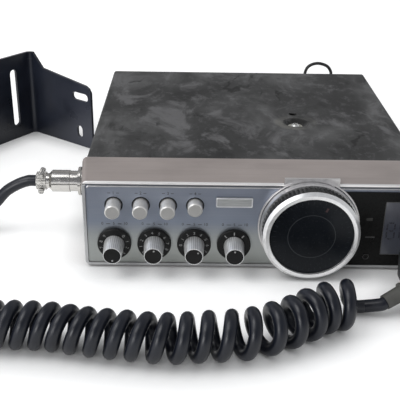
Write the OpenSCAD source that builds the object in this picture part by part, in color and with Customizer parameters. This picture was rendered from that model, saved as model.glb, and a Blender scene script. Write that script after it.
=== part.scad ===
// Mobile two-way radio with its microphone, curly cord, power lead and mounting bracket.
// Origin at the middle of the radio's underside, +X to the right seen from the front, +Y to the rear.

/* [Cabinet] */
// Width of the cabinet
body_w = 192; // [186:1:230]
// Height of the cabinet
body_h = 55.4; // [54:0.2:75]
// Depth of the cabinet behind the bezel
cabinet_d = 170; // [150:1:230]
// Thickness of the cover sheet
sheet_t = 1; // [0.8:0.1:1.4]
// Outside radius of the cover bends
bend_r = 2; // [1.6:0.1:4]
// Height at which the sides of the top cover end
seam_z = 16; // [13:0.5:20]
// Gap between the two covers along the seam
seam_gap = 0.3; // [0.2:0.1:1]
// Thickness of the chassis sheet
chassis_t = 1.2; // [0.8:0.1:2]
// Thickness of the rear panel
rear_t = 1.5; // [1:0.1:3]
// How far the rear panel sits inside the covers
rear_inset = 1; // [0:0.5:4]
// Shank radius of the cover screws
screw_r = 1.5; // [1:0.1:2]
// Head radius of the cover screws
screw_head_r = 2.8; // [2.4:0.1:4]
// Head height of the cover screws
screw_head_h = 1.5; // [1:0.1:2.5]
// Clearance around screws and other loose fits
fit_gap = 0.1; // [0.05:0.05:0.2]

/* [Top cover] */
// Radius of the screw dimple at its mouth
dimple_r = 8.2; // [7:0.1:12]
// Radius of the floor of the dimple
dimple_floor_r = 4.8; // [4.4:0.1:6]
// Depth of the dimple
dimple_depth = 2.6; // [2:0.1:4]
// Place of the dimple across the cover
dimple_x = 30.9; // [-40:0.1:40]
// Place of the dimple along the cover
dimple_y = -8.8; // [-30:0.1:0]
// Radius of the tuning hole behind the dimple
tuning_hole_r = 2.7; // [1:0.1:4]
// Distance from the dimple to the tuning hole
tuning_hole_back = 15.6; // [13:0.1:30]

/* [Bezel] */
// Depth of the bezel
bezel_d = 28; // [24:1:40]
// How far the back of the bezel stands out past each cabinet side
bezel_flare = 2; // [1:0.1:4]
// How far the back of the bezel stands above the cabinet
bezel_rise = 0.6; // [0.5:0.1:3]
// How far each side of the bezel draws in towards the front
bezel_taper = 2.75; // [1:0.05:4]
// How far the top of the bezel falls towards the front
bezel_drop = 2.5; // [1:0.1:5]
// Height of the lower edge of the bezel at the back
bezel_low = 0.4; // [0.2:0.1:1]
// Height of the lower edge of the bezel at the front
front_low = 1.2; // [0.8:0.1:3]
// Corner radius of the bezel
bezel_r = 3; // [3:0.5:6]
// Width of the bright rim around the panel
rim_w = 1.8; // [1.2:0.1:2.2]
// Wall of the bezel behind the rim
bezel_wall = 2.4; // [2:0.1:3]
// Width of the ledge that carries the panel
ledge_w = 2; // [1:0.1:3]
// Depth of that ledge behind the panel
ledge_d = 3; // [2:0.1:6]
// Thickness of the front panel
panel_t = 2; // [1.2:0.1:3]
// How far the panel sits behind the rim
panel_inset = 0.8; // [0.4:0.1:2]

/* [Buttons] */
// Radius of a button
button_r = 4.1; // [3:0.1:5]
// Distance between buttons
button_pitch = 14.9; // [12:0.1:16]
// Distance of the first button from the left end of the bezel front
button_left = 17.05; // [14:0.05:20]
// Height of the row of buttons
button_z = 39.2; // [36:0.1:44]
// How far a released button stands out of the rim
button_out = 9.2; // [6:0.1:12]
// How far a pressed button travels
button_travel = 4.5; // [3:0.1:6]
// How far the latched button stays in
button_latch = 3.7; // [1:0.1:4.4]
// Radius of a button stem
stem_r = 1.8; // [1:0.1:2.5]

/* [Knobs] */
// Radius of a knob skirt
skirt_r = 9.45; // [8:0.05:10.8]
// Thickness of a knob skirt
skirt_t = 1.8; // [1:0.1:3]
// Gap between a skirt and the panel
skirt_gap = 0.5; // [0.3:0.1:1]
// Distance between knobs
knob_pitch = 22.3; // [20:0.05:24]
// Distance of the first knob from the left end of the bezel front
knob_left = 16.85; // [14:0.05:20]
// Height of the row of knobs
knob_z = 15.6; // [14:0.1:20]
// How far a knob stands out of the rim
knob_out = 14.5; // [10:0.1:20]
// Radius of a knob sleeve at its base
sleeve_base_r = 5.7; // [5.4:0.05:7]
// Radius of a knob sleeve at its end
sleeve_end_r = 5; // [4.85:0.05:5.35]
// Radius of the black core of a knob
core_r = 4.6; // [4:0.1:4.7]
// Radius of a control shaft
shaft_r = 3; // [2:0.1:3.5]
// Radial running fit of a shaft
shaft_fit = 0.05; // [0.02:0.01:0.1]
// Radius of a potentiometer
pot_r = 8; // [6:0.1:9.5]
// Depth of a potentiometer
pot_d = 11; // [9:0.5:16]

/* [Channel dial] */
// Distance of the dial axis from the left end of the bezel front
dial_left = 124.9; // [121:0.05:126]
// Height of the dial axis
dial_z = 27.9; // [27:0.1:34]
// Radius of the silver flange of the dial
flange_r = 27; // [24:0.1:27.1]
// Depth of the silver flange
flange_d = 4.8; // [2:0.1:6]
// Radius of the ribbed grip
grip_r = 26.4; // [24:0.1:27]
// Number of ribs around the grip
grip_ribs = 72; // [36:1:90]
// Depth of the ribs
rib_d = 0.7; // [0.3:0.1:1]
// How far the grip stands out of the rim
grip_out = 12; // [9:0.1:14]
// Outer radius of the silver front ring at its back
ring_r = 26.5; // [24:0.1:27]
// Inner radius of the silver front ring
ring_in_r = 23; // [20:0.1:23.5]
// How far the front ring stands out of the rim
ring_out = 14; // [12:0.1:18]
// How far the black face lies behind the front of the ring
face_sink = 1.4; // [0.5:0.1:2]
// Outer radius of the collar around the dial
collar_r = 28.2; // [28:0.1:31]
// Gap between the collar and the dial
collar_gap = 0.4; // [0.3:0.1:1]
// How far the collar stands out of the rim
collar_out = 0.3; // [0.2:0.1:4]
// Width of the flat-topped block on the collar
block_w = 30; // [20:0.5:34]
// How far the block reaches back over the bezel
block_d = 1.2; // [1:0.1:12]
// How far the block rises above the cabinet
block_rise = 1.2; // [0:0.1:2]

/* [Display] */
// Thickness of the black display panel
display_t = 1.2; // [0.8:0.1:2]
// Lower edge of the display panel
display_low = 3.5; // [3.4:0.1:8]
// Upper edge of the display panel
display_high = 48.8; // [46:0.1:49]
// Margin of the display panel from the right end of the bezel front
display_margin = 4.75; // [2.5:0.05:6]
// Distance from the dial axis to the display window
window_from_dial = 41.5; // [38:0.1:46]
// Margin of the window from the right end of the bezel front
window_margin = 8.2; // [6:0.1:9]
// Lower edge of the window
window_low = 10.6; // [8:0.1:14]
// Upper edge of the window
window_high = 43.3; // [38:0.1:45]
// Radius of the round lamp lens
lamp_r = 1.9; // [1:0.1:2.5]
// Width of the badge plate
badge_w = 20.2; // [12:0.1:22]
// Height of the badge plate
badge_h = 5.9; // [4:0.1:8]
// Thickness of the badge plate
badge_t = 0.8; // [0.4:0.1:1.2]

/* [Microphone plug] */
// Distance of the socket axis behind the bezel
socket_back = 14; // [12:0.5:24]
// Height of the socket axis
socket_z = 34.3; // [30:0.1:38]
// How far the socket boss stands out of the cabinet
socket_out = 6.7; // [5:0.1:10]
// Radius of the socket flange
socket_flange_r = 8.6; // [7:0.1:10]
// Radius of the socket spout
spout_r = 5; // [4:0.1:5.4]
// Radius of the coupling ring
coupling_r = 6.2; // [5.8:0.1:8]
// Length of the coupling ring
coupling_l = 4.6; // [3:0.1:8]
// Radius of the plug barrel
barrel_r = 6.6; // [6:0.1:8]
// Length of the plug barrel
barrel_l = 12.1; // [9:0.1:20]
// Length of the cord clamp
clamp_l = 5.7; // [4:0.1:10]

/* [Microphone] */
// Length of the microphone
mic_l = 85; // [78:1:100]
// Half width of the microphone at its wide end
mic_half_w = 29; // [27:0.5:34]
// Half width of the microphone at the cord end
mic_end_half_w = 24; // [20:0.5:26]
// Thickness of the microphone
mic_t = 29; // [26:0.5:36]
// Wall of the microphone shells
mic_wall = 2.4; // [1.8:0.1:3]
// Length of the talk bar
talk_l = 42; // [30:1:46]
// Height of the talk bar
talk_h = 12; // [8:0.5:14]
// Travel of the talk bar
talk_travel = 3; // [2:0.1:4]
// Radius of the hang-up button
hang_r = 5.5; // [4:0.1:8]
// Height of the hang-up button
hang_h = 4; // [3:0.1:8]
// Distance of the cord end of the microphone from the left side of the cabinet
mic_right = 180; // [176:0.5:200]
// Distance of the cord end of the microphone in front of the radio
mic_ahead = 36.8; // [36:0.1:80]

/* [Bracket] */
// Thickness of the bracket sheet
bracket_t = 2; // [1.5:0.1:3]
// Side play between the bracket and the cabinet
bracket_play = 1; // [0.5:0.1:3]
// Height of the bracket as it stands
bracket_h = 66; // [62:1:80]
// Length of the bracket ears
ear_l = 65; // [60:1:80]
// Height of an ear where it leaves the bend
ear_root_h = 55; // [50:0.5:60]
// Height of an ear at its free end
ear_tip_h = 48.5; // [46:0.5:50]
// Outside bend radius of the bracket
bracket_bend_r = 5; // [3.2:0.1:6]
// Width of the bracket slots
slot_w = 6.2; // [4.5:0.1:8]
// Length of the plate slots
plate_slot_l = 45; // [20:1:50]
// Distance of the bracket corner to the left of the cabinet
bracket_left = 67; // [60:0.5:100]
// Distance of the bracket corner behind the cabinet
bracket_behind = 16.3; // [10:0.1:60]

/* [Rear] */
// Radius of the antenna socket
antenna_r = 7.94; // [6:0.02:9]
// Length of the antenna socket
antenna_l = 12; // [8:0.5:16]
// Radius of the hole in a jack
jack_r = 1.75; // [1.2:0.05:3.2]
// Radius of the power lead grommet
grommet_r = 4.4; // [3:0.1:7]
// Diameter of the power lead
lead_d = 2.4; // [1.8:0.1:2.6]

/* [Cord] */
// Diameter of the microphone cord
cord_d = 6.7; // [5:0.1:7]
// Outer diameter of the curls
curl_od = 24; // [20:0.5:26]
// Number of curls
curls = 22; // [14:1:22]
// Turns in each layer of the power lead coil
coil_turns = 3; // [2:1:4]
// Least radius of the power lead coil
coil_in_r = 8.5; // [7:0.5:12]
// Gap between turns of the power lead coil
coil_gap = 0.55; // [0.5:0.05:1]

/* [Inside] */
// Radius of the loudspeaker rim
speaker_r = 38.5; // [30:0.5:42]
// Depth of the loudspeaker
speaker_d = 25; // [20:0.5:26]
// Place of the loudspeaker along the cabinet
speaker_y = 35; // [20:1:40]
// Width of a sound slot in the bottom cover
sound_slot_w = 3; // [2:0.5:4]
// Distance between sound slots
sound_slot_pitch = 7; // [5:0.5:10]
// Height of the underside of the circuit board
board_z = 29; // [28:0.5:32]
// Thickness of the circuit board
board_t = 1.6; // [1:0.1:2.4]
// Clearance between the circuit board and the side rails
board_side = 7; // [6:0.5:12]
// Thread drill radius of the bracket nuts
nut_hole_r = 2.1; // [1.6:0.05:3]
// Place of the bracket nuts along the cabinet
nut_y = 15; // [5:1:25]
// Height of the bracket nuts
nut_z = 40; // [38:1:44]

/* [Hidden] */
$fn = 64;
eps = 0.01;

// Places and radii follow the cabinet from this width and height
standard_w = 192;
standard_h = 55.4;
wide = body_w / standard_w;
high = body_h / standard_h;

// Planes of the cabinet
body_d = bezel_d + cabinet_d;
y_front = -body_d / 2;
y_bezel = y_front + bezel_d;
y_rear = body_d / 2;
half_w = body_w / 2;
rear_out_y = y_rear - rear_inset;
rear_in_y = rear_out_y - rear_t;
rail_x = half_w - sheet_t;
rail_in_x = rail_x - chassis_t;
front_left = [-half_w, y_front, 0];

// Bezel and panel
front_half = half_w + bezel_flare - bezel_taper;
back_half = half_w + bezel_flare;
front_top = body_h + bezel_rise - bezel_drop;
y_panel = y_front + panel_inset;
y_panel_back = y_panel + panel_t;
rim_round = 0.7;
panel_gap = 0.15;
inner_r = 2;
notch_depth = 0.6;
notch_floor = front_top - notch_depth;

// Push buttons
button_x = [for (i = [0:3]) -front_half + wide * (button_left + i * button_pitch)];
button_row = high * button_z;
button_in = [0, 0, 0, button_latch];
button_edge = 0.6;
button_hole_r = button_r + 0.3;
button_flange_r = button_hole_r + 0.5;
button_flange_t = 1.2;
bank_gap = 0.8;
bank_y = y_panel_back + panel_gap + button_flange_t + button_travel + bank_gap;
bank_d = 15;
bank_side = 7;
bank_half_h = 6;
bank_post_r = 1.2;
bank_post_in = 1.4;
stem_end = bank_y + 8;

// Knobs
knob_x = [for (i = [0:3]) -front_half + wide * (knob_left + i * knob_pitch)];
knob_row = high * knob_z;
knob_angle = [180, 7, 45, 0];
skirt_edge = 0.5;
core_sink = 0.3;
bushing_r = shaft_r + 0.9;
sleeve_bore_r = core_r + shaft_fit;
sleeve_foot = 1.2;
sleeve_edge = 0.3;
dot_r = 0.8;
dot_in = 1.5;
dot_d = 0.2;

// Channel dial
dial_x = -front_half + wide * dial_left;
dial_row = high * dial_z;
dial_flange_r = high * flange_r;
dial_grip_r = high * grip_r;
dial_ring_r = high * ring_r;
dial_face_r = high * ring_in_r;
dial_hub_r = dial_face_r - 0.6;
dial_collar_r = high * collar_r;
collar_in_r = dial_flange_r + collar_gap;
collar_low = front_low + 0.2;
block_top = body_h + block_rise;
dial_y = y_front - 0.3;
grip_back = dial_y - flange_d;
grip_front = y_front - grip_out;
ring_depth = ring_out - grip_out;
ring_bevel = 1.6;
switch_r = 13;
switch_d = 14;

// Display, measured from the collar of the dial
collar_right = dial_x + dial_collar_r;
display_right = front_half - display_margin;
display_floor = high * display_low;
display_top = high * display_high;
display_r = 1;
window_left = collar_right + wide * (window_from_dial - collar_r);
window_right = front_half - window_margin;
window_floor = high * window_low;
window_top = high * window_high;
window_lap = 1;
lamp_at = [collar_right + 5.4 * wide, 9.1 * high];
lamp_rise = 0.3;
sign_at = [[collar_right + 5.2 * wide, 32.6 * high], [collar_right + 8 * wide, 19.4 * high]];
sign_size = [[3.4, 1.8], [1.4, 5]];
badge_at = [dial_x - dial_collar_r - 13.4 * wide, 41.65 * high];
badge_corner = 0.6;
board_back = 2.6;
display_post_r = 1.2;

// Microphone socket and plug, measured along -X from the cabinet side
socket_y = y_bezel + socket_back;
socket_row = high * socket_z;
socket_flange_t = 1.5;
socket_nut_t = 3;
socket_neck_r = spout_r + 1.5;
socket_hole_r = socket_neck_r + fit_gap;
ring_gap = 0.3;
socket_face = -half_w - socket_out;
coupling_from = socket_face - ring_gap;
coupling_to = coupling_from - coupling_l;
barrel_from = coupling_to - ring_gap;
barrel_to = barrel_from - barrel_l;
barrel_edge = 1.6;
spout_in = 2.4;
spout_wall = 1.2;
spout_l = coupling_l + 2 * ring_gap + spout_in;
neck_l = 2.1;
neck_r = 4.5;
clamp_from = barrel_to - neck_l;
clamp_to = clamp_from - clamp_l;
clamp_r = barrel_r - 1.2;
clamp_screw_r = 1.7;
clamp_grip = 2;

// Rear panel pieces
antenna_at = [-60 * wide, 34 * high];
antenna_flange = 25.4 * high;
antenna_flange_t = 2;
antenna_wall = 1.6;
antenna_neck_r = antenna_r - 1.5;
antenna_pin_r = 2;
jack_at = [[-30 * wide, 36 * high], [-10 * wide, 36 * high]];
jack_neck_r = jack_r + 1.5;
jack_collar_r = jack_r + 2.5;
jack_d = 9;
grommet_at = [70 * wide, 44 * high];
grommet_neck_r = grommet_r - 1.1;
grommet_lip = 3;
grommet_back = 2;
grommet_y = rear_out_y + grommet_lip;
heat_sink_x = [22 * wide, 58 * wide];
heat_sink_z = [34 * high, 51 * high];
heat_sink_d = 12;
heat_sink_t = 3;
fin_t = 2;
fins = 6;

// Cover screws, as place along the cabinet and height
side_screws = [[-25, 45 * high], [75, 45 * high], [-25, 8], [75, 8]];
side_screw_l = 6;
dimple_screw_l = 7;
rail_low = 4;
rail_high = body_h - 4;
frame_w = 7;
strap_top = body_h - dimple_depth - sheet_t;
strap_t = 1.6;
strap_w = 13;
nut_row = high * nut_z;
nut_r = 5.2;
nut_l = 5;
nut_pass_r = 2.9;

// Circuit board and its parts, as places on it and sizes
board_low = high * board_z;
board_top = board_low + board_t;
board_edge = rail_in_x - board_side;
board_y = [y_bezel + 29, rear_in_y - 12.5];
tab_l = 22;
tab_lap = 3;
tab_y = [board_y[0], board_y[1] - 29];
capacitor_at = [-60 * wide, 60];
capacitor_r = 4.5;
capacitor_h = 14;
capacitor_pitch = 14 * wide;
chip_at = [-55 * wide, 10];
chip_size = [16, 7, 4];
chip_pitch = 24 * wide;
can_at = [-70 * wide, -22];
can_size = [9, 9, 11];
can_pitch = 13 * wide;
crystal_at = [42 * wide, 20];
crystal_size = [12, 4.5, 9];
choke_at = [62 * wide, -20];
choke_r = 7;
choke_h = 13;
choke_pitch = 30;

// Loudspeaker, whose depth follows the cabinet height
speaker_deep = high * speaker_d;
speaker_rim = 3;
rim_back = high * 3.2;
rim_front = high * 2.2;
cone_t = 0.7;
magnet_r = 21;
neck_z = high * 14;
coil_r_out = 15;
coil_r_in = 14;
coil_z_in = high * 13;
cone_z = high * 12.2;
dome_z = high * 14.2;
cone_gap = 0.4;
sound_margin = 6;
slot_margin = 8;

// Microphone place and shape
mic_lift = 0.2;
mic_at = front_left + [mic_right, -mic_ahead, mic_lift];
mic_turn = 22;
hang_x = 60;
mic_tilt = atan(hang_h / (hang_x - hang_r));
mic_split = mic_t / 2;
mic_edge = 8;
mic_end_r = 9;
mic_head_r = 16;
talk_x = 16;
talk_gap = 0.35;
talk_out = mic_half_w + 2;
talk_in = 15;
talk_slack = talk_travel + 1;
talk_rib_w = 1.4;
talk_rib_d = 0.8;
talk_rib_pitch = 4;
talk_margin = 8;
talk_rib_in = 2;
capsule_r = 12;
capsule_h = 8;
capsule_in = 25;
sound_r = 20;
mic_slot_w = 1.8;
mic_slot_pitch = 4.4;
relief_l = 21;
relief_r = 5.2;
relief_droop = 16;
relief_ribs = 3;
relief_thin = 0.25;
relief_foot = 2.5;
relief_sink = 1.2;
relief_first = 1.5;
relief_groove = 0.5;
relief_crest = 0.6;
rib_step = 3;

// Bracket place and corners
bracket_at = front_left + [-bracket_left, body_d + bracket_behind, 0];
bracket_turn = -36.2;
bracket_l = body_w + 2 * bracket_play + 2 * bracket_t;
ear_root = 15;
ear_corner_r = 5;
ear_slot_l = 16;
ear_slot_at = [11, 40];
ear_hole_l = 9.5;
ear_hole_w = slot_w - 0.6;
ear_hole_at = [13, 11.7];
plate_slot_in = 20;

// Route of the microphone cord from the plug to the curls, the third value a share of the plug's height
lead_route = [
    [-42.5, 42, 0.932], [-50.5, 41.8, 0.776], [-57.5, 41.4, 0.529], [-66, 40.4, 0.244], [-77, 37.5, 0.055],
    [-92, 29, 0], [-103, 13, 0], [-105.5, -9, 0], [-103, -33, 0], [-100, -53, 0], [-93, -69, 0],
    [-85.5, -78, 0]
];
// Axis of the curls on the floor, a point for every second curl
curl_axis = [
    [-61, -73.5], [-43.5, -73.5], [-26, -74], [-8, -75], [9.5, -78.5], [28.5, -81.5],
    [48.5, -84], [68.5, -82.5], [90.5, -79.5], [111, -69.5], [128.5, -58], [147.5, -54]
];
// Route of the power lead from its grommet to its coil, the third value a share of the grommet's height
power_route = [
    [0, 9, 1.012], [3, 15, 1.072], [4, 17.5, 1.169], [0.5, 18.2, 1.283], [-6.7, 18.5, 1.33],
    [-13, 18.6, 1.283], [-16, 18.8, 1.169], [-17, 19.5, 0.904], [-18.2, 21, 0.518], [-19.6, 25, 0.157],
    [-22, 32, 0.022], [-26, 40, 0.002]
];
coil_at = [grommet_at[0] - 50, grommet_y + 47];
coil_entry = -10;
end_straight = 1.2;

// Curls
curl_mean_r = (curl_od - cord_d) / 2;
curl_rings = 8;
cord_z = cord_d / 2 + 0.15;
curl_start = 90;
curl_first = 0.75;
curl_last = curls - 0.75;
curl_swell = 0.12;
swell_from = 0.4;
curl_lean = 2.5;
upright_curl = 16;
axis_step = 0.002;
bend_step = 30;
bend_run = 8;
tail_lift = 1;
tail_straight = 1.2;
route_steps = 3;
lead_sides = 8;
coil_sides = 6;

// Power lead coil
coil_layers = 4;
coil_step = lead_d + coil_gap;
coil_rings = 24;
tie_t = 1;
tie_w = 4;
tie_gap = 0.3;
coil_z = lead_d / 2 + tie_t + tie_gap;
coil_out_r = coil_in_r + coil_turns * coil_step;
coil_loops = coil_layers * coil_turns;
tail_run = [8, 18, 30, 38];
fuse_r = 5.5;
fuse_l = 46;
fuse_z = fuse_r + 0.2;
fuse_neck_r = [2.4, 3];
fuse_neck_l = [5, 7];

// A box between two corners
module slab(from, to) translate(from) cube(to - from);

// A cylinder along +Y from one plane to another
module rod_y(x, z, y0, y1, r) translate([x, y0, z]) rotate([-90, 0, 0]) cylinder(r = r, h = y1 - y0);

// A cylinder along +X from one plane to another
module rod_x(y, z, x0, x1, r) translate([x0, y, z]) rotate([0, 90, 0]) cylinder(r = r, h = x1 - x0);

// Draws its outline in X and Z, and extrudes it from a plane towards the viewer
module facing(y, depth) translate([0, y, 0]) rotate([90, 0, 0]) linear_extrude(depth) children();

// A turned piece along Y, whose outline holds radius and distance in front of a plane
module turned(x, z, y, outline) translate([x, y, z]) rotate([90, 0, 0]) rotate_extrude() polygon(outline);

// An outline with round corners between two corners
module rounded(x0, x1, z0, z1, r) {
    translate([x0 + r, z0]) square([x1 - x0 - 2 * r, z1 - z0]);
    translate([x0, z0 + r]) square([x1 - x0, z1 - z0 - 2 * r]);
    for (x = [x0 + r, x1 - r], z = [z0 + r, z1 - r]) translate([x, z]) circle(r = r);
}

// The front outline of the bezel drawn in by a margin
module front_outline(inset, r) {
    rounded(-front_half + inset, front_half - inset, front_low + inset, front_top - inset, r);
}

// A slot with round ends along X or Z
module slot(l, w) {
    square([l - w, w], center = true);
    for (s = [-1, 1]) translate([s * (l - w) / 2, 0]) circle(r = w / 2);
}

// Sweeping of a tube along points
function unit(v) = v / norm(v);
function tangents(p) = let (last = len(p) - 1)
    [for (i = [0:last]) unit(p[min(i + 1, last)] - p[max(i - 1, 0)])];
function carried(n, t) = unit(n - (n * t) * t);
function normals(t, n0) = let (last = len(t) - 1)
    [for (i = 0, n = carried(n0, t[0]); i <= last; i = i + 1, n = carried(n, t[min(i, last)])) n];
function tube_points(p, r, sides, n0) = let (t = tangents(p), n = normals(t, n0))
    [for (i = [0:len(p) - 1]) let (b = cross(t[i], n[i])) for (k = [0:sides - 1])
        p[i] + r * (cos(360 * k / sides) * n[i] + sin(360 * k / sides) * b)];
function tube_sides(rings, sides) = [for (i = [0:rings - 2], k = [0:sides - 1])
    let (a = i * sides + k, b = i * sides + (k + 1) % sides)
    each [[a, a + sides, b + sides], [a, b + sides, b]]];
function tube_caps(rings, sides) = let (m = (rings - 1) * sides)
    [for (k = [1:sides - 2]) each [[0, k, k + 1], [m, m + k + 1, m + k]]];

// A closed tube along points
module tube(p, d, sides, n0) {
    polyhedron(tube_points(p, d / 2, sides, n0), concat(tube_sides(len(p), sides), tube_caps(len(p), sides)));
}

// Points of a smooth curve through hand-chosen ones
function curve_at(a, b, c, d, u) = 0.5 * (2 * b + (c - a) * u + (2 * a - 5 * b + 4 * c - d) * u * u
    + (3 * b - a - 3 * c + d) * u * u * u);
function curve(p, steps) = let (last = len(p) - 1)
    [for (i = [0:last - 1], j = [0:steps - 1])
        curve_at(p[max(i - 1, 0)], p[i], p[i + 1], p[min(i + 2, last)], j / steps), p[last]];

// Length of a tube up to each point, and its least gap to itself past three diameters along it
function run_of(p) = let (last = len(p) - 1)
    [for (i = 0, s = 0; i <= last; i = i + 1, s = s + norm(p[min(i, last)] - p[i - 1])) s];
function least_gap(p, d) = let (run = run_of(p)) min([for (i = [0:len(p) - 2], j = [i + 1:len(p) - 1])
    if (run[j] - run[i] > 3 * d) norm(p[i] - p[j])]) - d;

// Covers and frame of the cabinet

module cover_section() difference() {
    rounded(-half_w, half_w, 0, body_h, bend_r);
    rounded(-rail_x, rail_x, sheet_t, body_h - sheet_t, bend_r - sheet_t);
}

module screw_holes(r) {
    for (s = side_screws) rod_x(s[0], s[1], -half_w - eps, half_w + eps, r);
}

module dimple() translate([dimple_x, dimple_y, body_h]) rotate_extrude() polygon([
    [screw_r + fit_gap, -dimple_depth], [dimple_floor_r, -dimple_depth], [dimple_r, 0],
    [dimple_r + sheet_t, 0], [dimple_r + sheet_t, -sheet_t], [dimple_r + sheet_t / 2, -sheet_t],
    [dimple_floor_r + sheet_t / 2, -dimple_depth - sheet_t], [screw_r + fit_gap, -dimple_depth - sheet_t]
]);

module top_cover() color("#3c3d40") {
    difference() {
        facing(y_rear, cabinet_d) intersection() {
            cover_section();
            translate([-half_w, seam_z]) square([body_w, body_h - seam_z]);
        }
        screw_holes(screw_r + fit_gap);
        rod_x(nut_y, nut_row, -half_w - eps, half_w + eps, nut_pass_r);
        rod_x(socket_y, socket_row, -half_w - eps, 0, socket_hole_r);
        translate([dimple_x, dimple_y, body_h / 2]) cylinder(r = dimple_r, h = body_h);
        translate([dimple_x, dimple_y + tuning_hole_back, body_h / 2])
            cylinder(r = tuning_hole_r, h = body_h);
    }
    dimple();
}

module bottom_cover() color("#303134") difference() {
    facing(y_rear, cabinet_d) intersection() {
        cover_section();
        translate([-half_w, 0]) square([body_w, seam_z - seam_gap]);
    }
    screw_holes(screw_r + fit_gap);
    slots = floor((speaker_r - slot_margin) / sound_slot_pitch);
    for (i = [-slots:slots]) {
        chord = 2 * sqrt(pow(speaker_r - sound_margin, 2) - pow(i * sound_slot_pitch, 2));
        translate([0, speaker_y + i * sound_slot_pitch, -eps]) linear_extrude(sheet_t + 2 * eps)
            slot(chord, sound_slot_w);
    }
}

module chassis_frame() color("#b4b7ba") difference() {
    union() {
        facing(y_bezel + chassis_t, chassis_t) difference() {
            rounded(-rail_x, rail_x, sheet_t, body_h - sheet_t, bend_r);
            rounded(-rail_x + frame_w, rail_x - frame_w, sheet_t + frame_w, body_h - sheet_t - frame_w,
                inner_r);
        }
        for (s = [-1, 1]) {
            slab([min(s * rail_x, s * rail_in_x), y_bezel, rail_low],
                [max(s * rail_x, s * rail_in_x), rear_in_y, rail_high]);
            for (y = tab_y) slab(
                [min(s * rail_in_x, s * (board_edge - tab_lap)), y, board_low - chassis_t],
                [max(s * rail_in_x, s * (board_edge - tab_lap)), y + tab_l, board_low]);
        }
        slab([-rail_x, dimple_y - strap_w / 2, strap_top - strap_t],
            [rail_x, dimple_y + strap_w / 2, strap_top]);
    }
    screw_holes(screw_r + fit_gap);
    rod_x(nut_y, nut_row, -half_w, half_w, nut_pass_r);
    rod_x(socket_y, socket_row, -half_w, 0, socket_hole_r);
    translate([dimple_x, dimple_y, 0]) cylinder(r = screw_r + fit_gap, h = body_h);
}

module cover_screw(l) {
    rotate_extrude() polygon([[0, -l], [screw_r, -l], [screw_r, 0], [screw_head_r, 0],
        [screw_head_r, screw_head_h * 0.4], [screw_head_r * 0.6, screw_head_h], [0, screw_head_h]]);
}

module cover_screws() color("#c9ccd0") {
    for (s = side_screws, side = [-1, 1])
        translate([side * half_w, s[0], s[1]]) rotate([0, side * 90, 0]) cover_screw(side_screw_l);
    translate([dimple_x, dimple_y, body_h - dimple_depth]) cover_screw(dimple_screw_l);
}

module bracket_nuts() color("#c4b27a") for (x = [-rail_in_x, rail_in_x - nut_l]) difference() {
    rod_x(nut_y, nut_row, x, x + nut_l, nut_r);
    rod_x(nut_y, nut_row, -half_w, half_w, nut_hole_r);
}

module rear_panel() color("#8d9094") difference() {
    facing(rear_out_y, rear_t) rounded(-rail_x, rail_x, sheet_t, body_h - sheet_t, bend_r);
    rod_y(antenna_at[0], antenna_at[1], rear_in_y - eps, rear_out_y + eps, antenna_neck_r + fit_gap);
    for (j = jack_at) rod_y(j[0], j[1], rear_in_y - eps, rear_out_y + eps, jack_neck_r + fit_gap);
    rod_y(grommet_at[0], grommet_at[1], rear_in_y - eps, rear_out_y + eps, grommet_neck_r + fit_gap);
}

// Front of the radio

module front_bezel() color("#8b837c") difference() {
    hull() {
        facing(y_bezel, 1) rounded(-back_half, back_half, bezel_low, body_h + bezel_rise, bezel_r, $fn = 32);
        facing(y_front + 1, 1 - rim_round) front_outline(0, bezel_r, $fn = 32);
        facing(y_front + 1, 1) front_outline(rim_round / 2, bezel_r - rim_round / 2, $fn = 32);
    }
    facing(y_panel_back, panel_t + panel_inset + 1) front_outline(rim_w, bezel_r - rim_w);
    facing(y_panel_back + ledge_d + eps, ledge_d + 1) front_outline(rim_w + ledge_w, inner_r);
    facing(y_bezel + 1, y_bezel + 1 - y_panel_back - ledge_d) front_outline(bezel_wall, inner_r);
    slab([dial_x - block_w / 2 - panel_gap, y_front - 1, notch_floor],
        [dial_x + block_w / 2 + panel_gap, y_front + block_d + panel_gap, body_h + 10]);
}

module front_panel() color("#a9abad") difference() {
    facing(y_panel_back, panel_t) difference() {
        front_outline(rim_w + panel_gap, bezel_r - rim_w);
        for (x = button_x) translate([x, button_row]) circle(r = button_hole_r);
        for (x = knob_x) translate([x, knob_row]) circle(r = bushing_r + fit_gap);
        translate([dial_x, dial_row]) circle(r = bushing_r + fit_gap);
        rounded(window_left + window_lap, window_right - window_lap, window_floor + window_lap,
            window_top - window_lap, display_r);
    }
}

module display_panel() color("#15161a") facing(y_panel, display_t) difference() {
    rounded(dial_x, display_right, display_floor, display_top, display_r);
    translate([dial_x, dial_row]) circle(r = dial_collar_r + fit_gap);
    translate([window_left - fit_gap, window_floor - fit_gap])
        square([window_right - window_left + 2 * fit_gap, window_top - window_floor + 2 * fit_gap]);
    translate(lamp_at) circle(r = lamp_r + fit_gap);
    for (i = [0, 1]) translate(sign_at[i]) square(sign_size[i] + 2 * [fit_gap, fit_gap], center = true);
}

module display_window() color("#6d7d8a") facing(y_panel, display_t)
    translate([window_left, window_floor]) square([window_right - window_left, window_top - window_floor]);

module indicator_lenses() color("#b8423a") {
    facing(y_panel, display_t + lamp_rise) translate(lamp_at) circle(r = lamp_r);
    for (i = [0, 1]) facing(y_panel, display_t) translate(sign_at[i]) square(sign_size[i], center = true);
}

module badge_plate() color("#d5d6d8") facing(y_panel, badge_t) translate(badge_at)
    rounded(-badge_w / 2, badge_w / 2, -badge_h / 2, badge_h / 2, badge_corner);

// The collar is a ring, flat on top where it rises over the bezel rim
module collar_outline() intersection() {
    union() {
        translate([dial_x, dial_row]) circle(r = dial_collar_r);
        translate([dial_x - block_w / 2, dial_row]) square([block_w, block_top - dial_row]);
    }
    translate([dial_x - dial_collar_r, collar_low]) square([2 * dial_collar_r, block_top - collar_low]);
}

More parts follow.
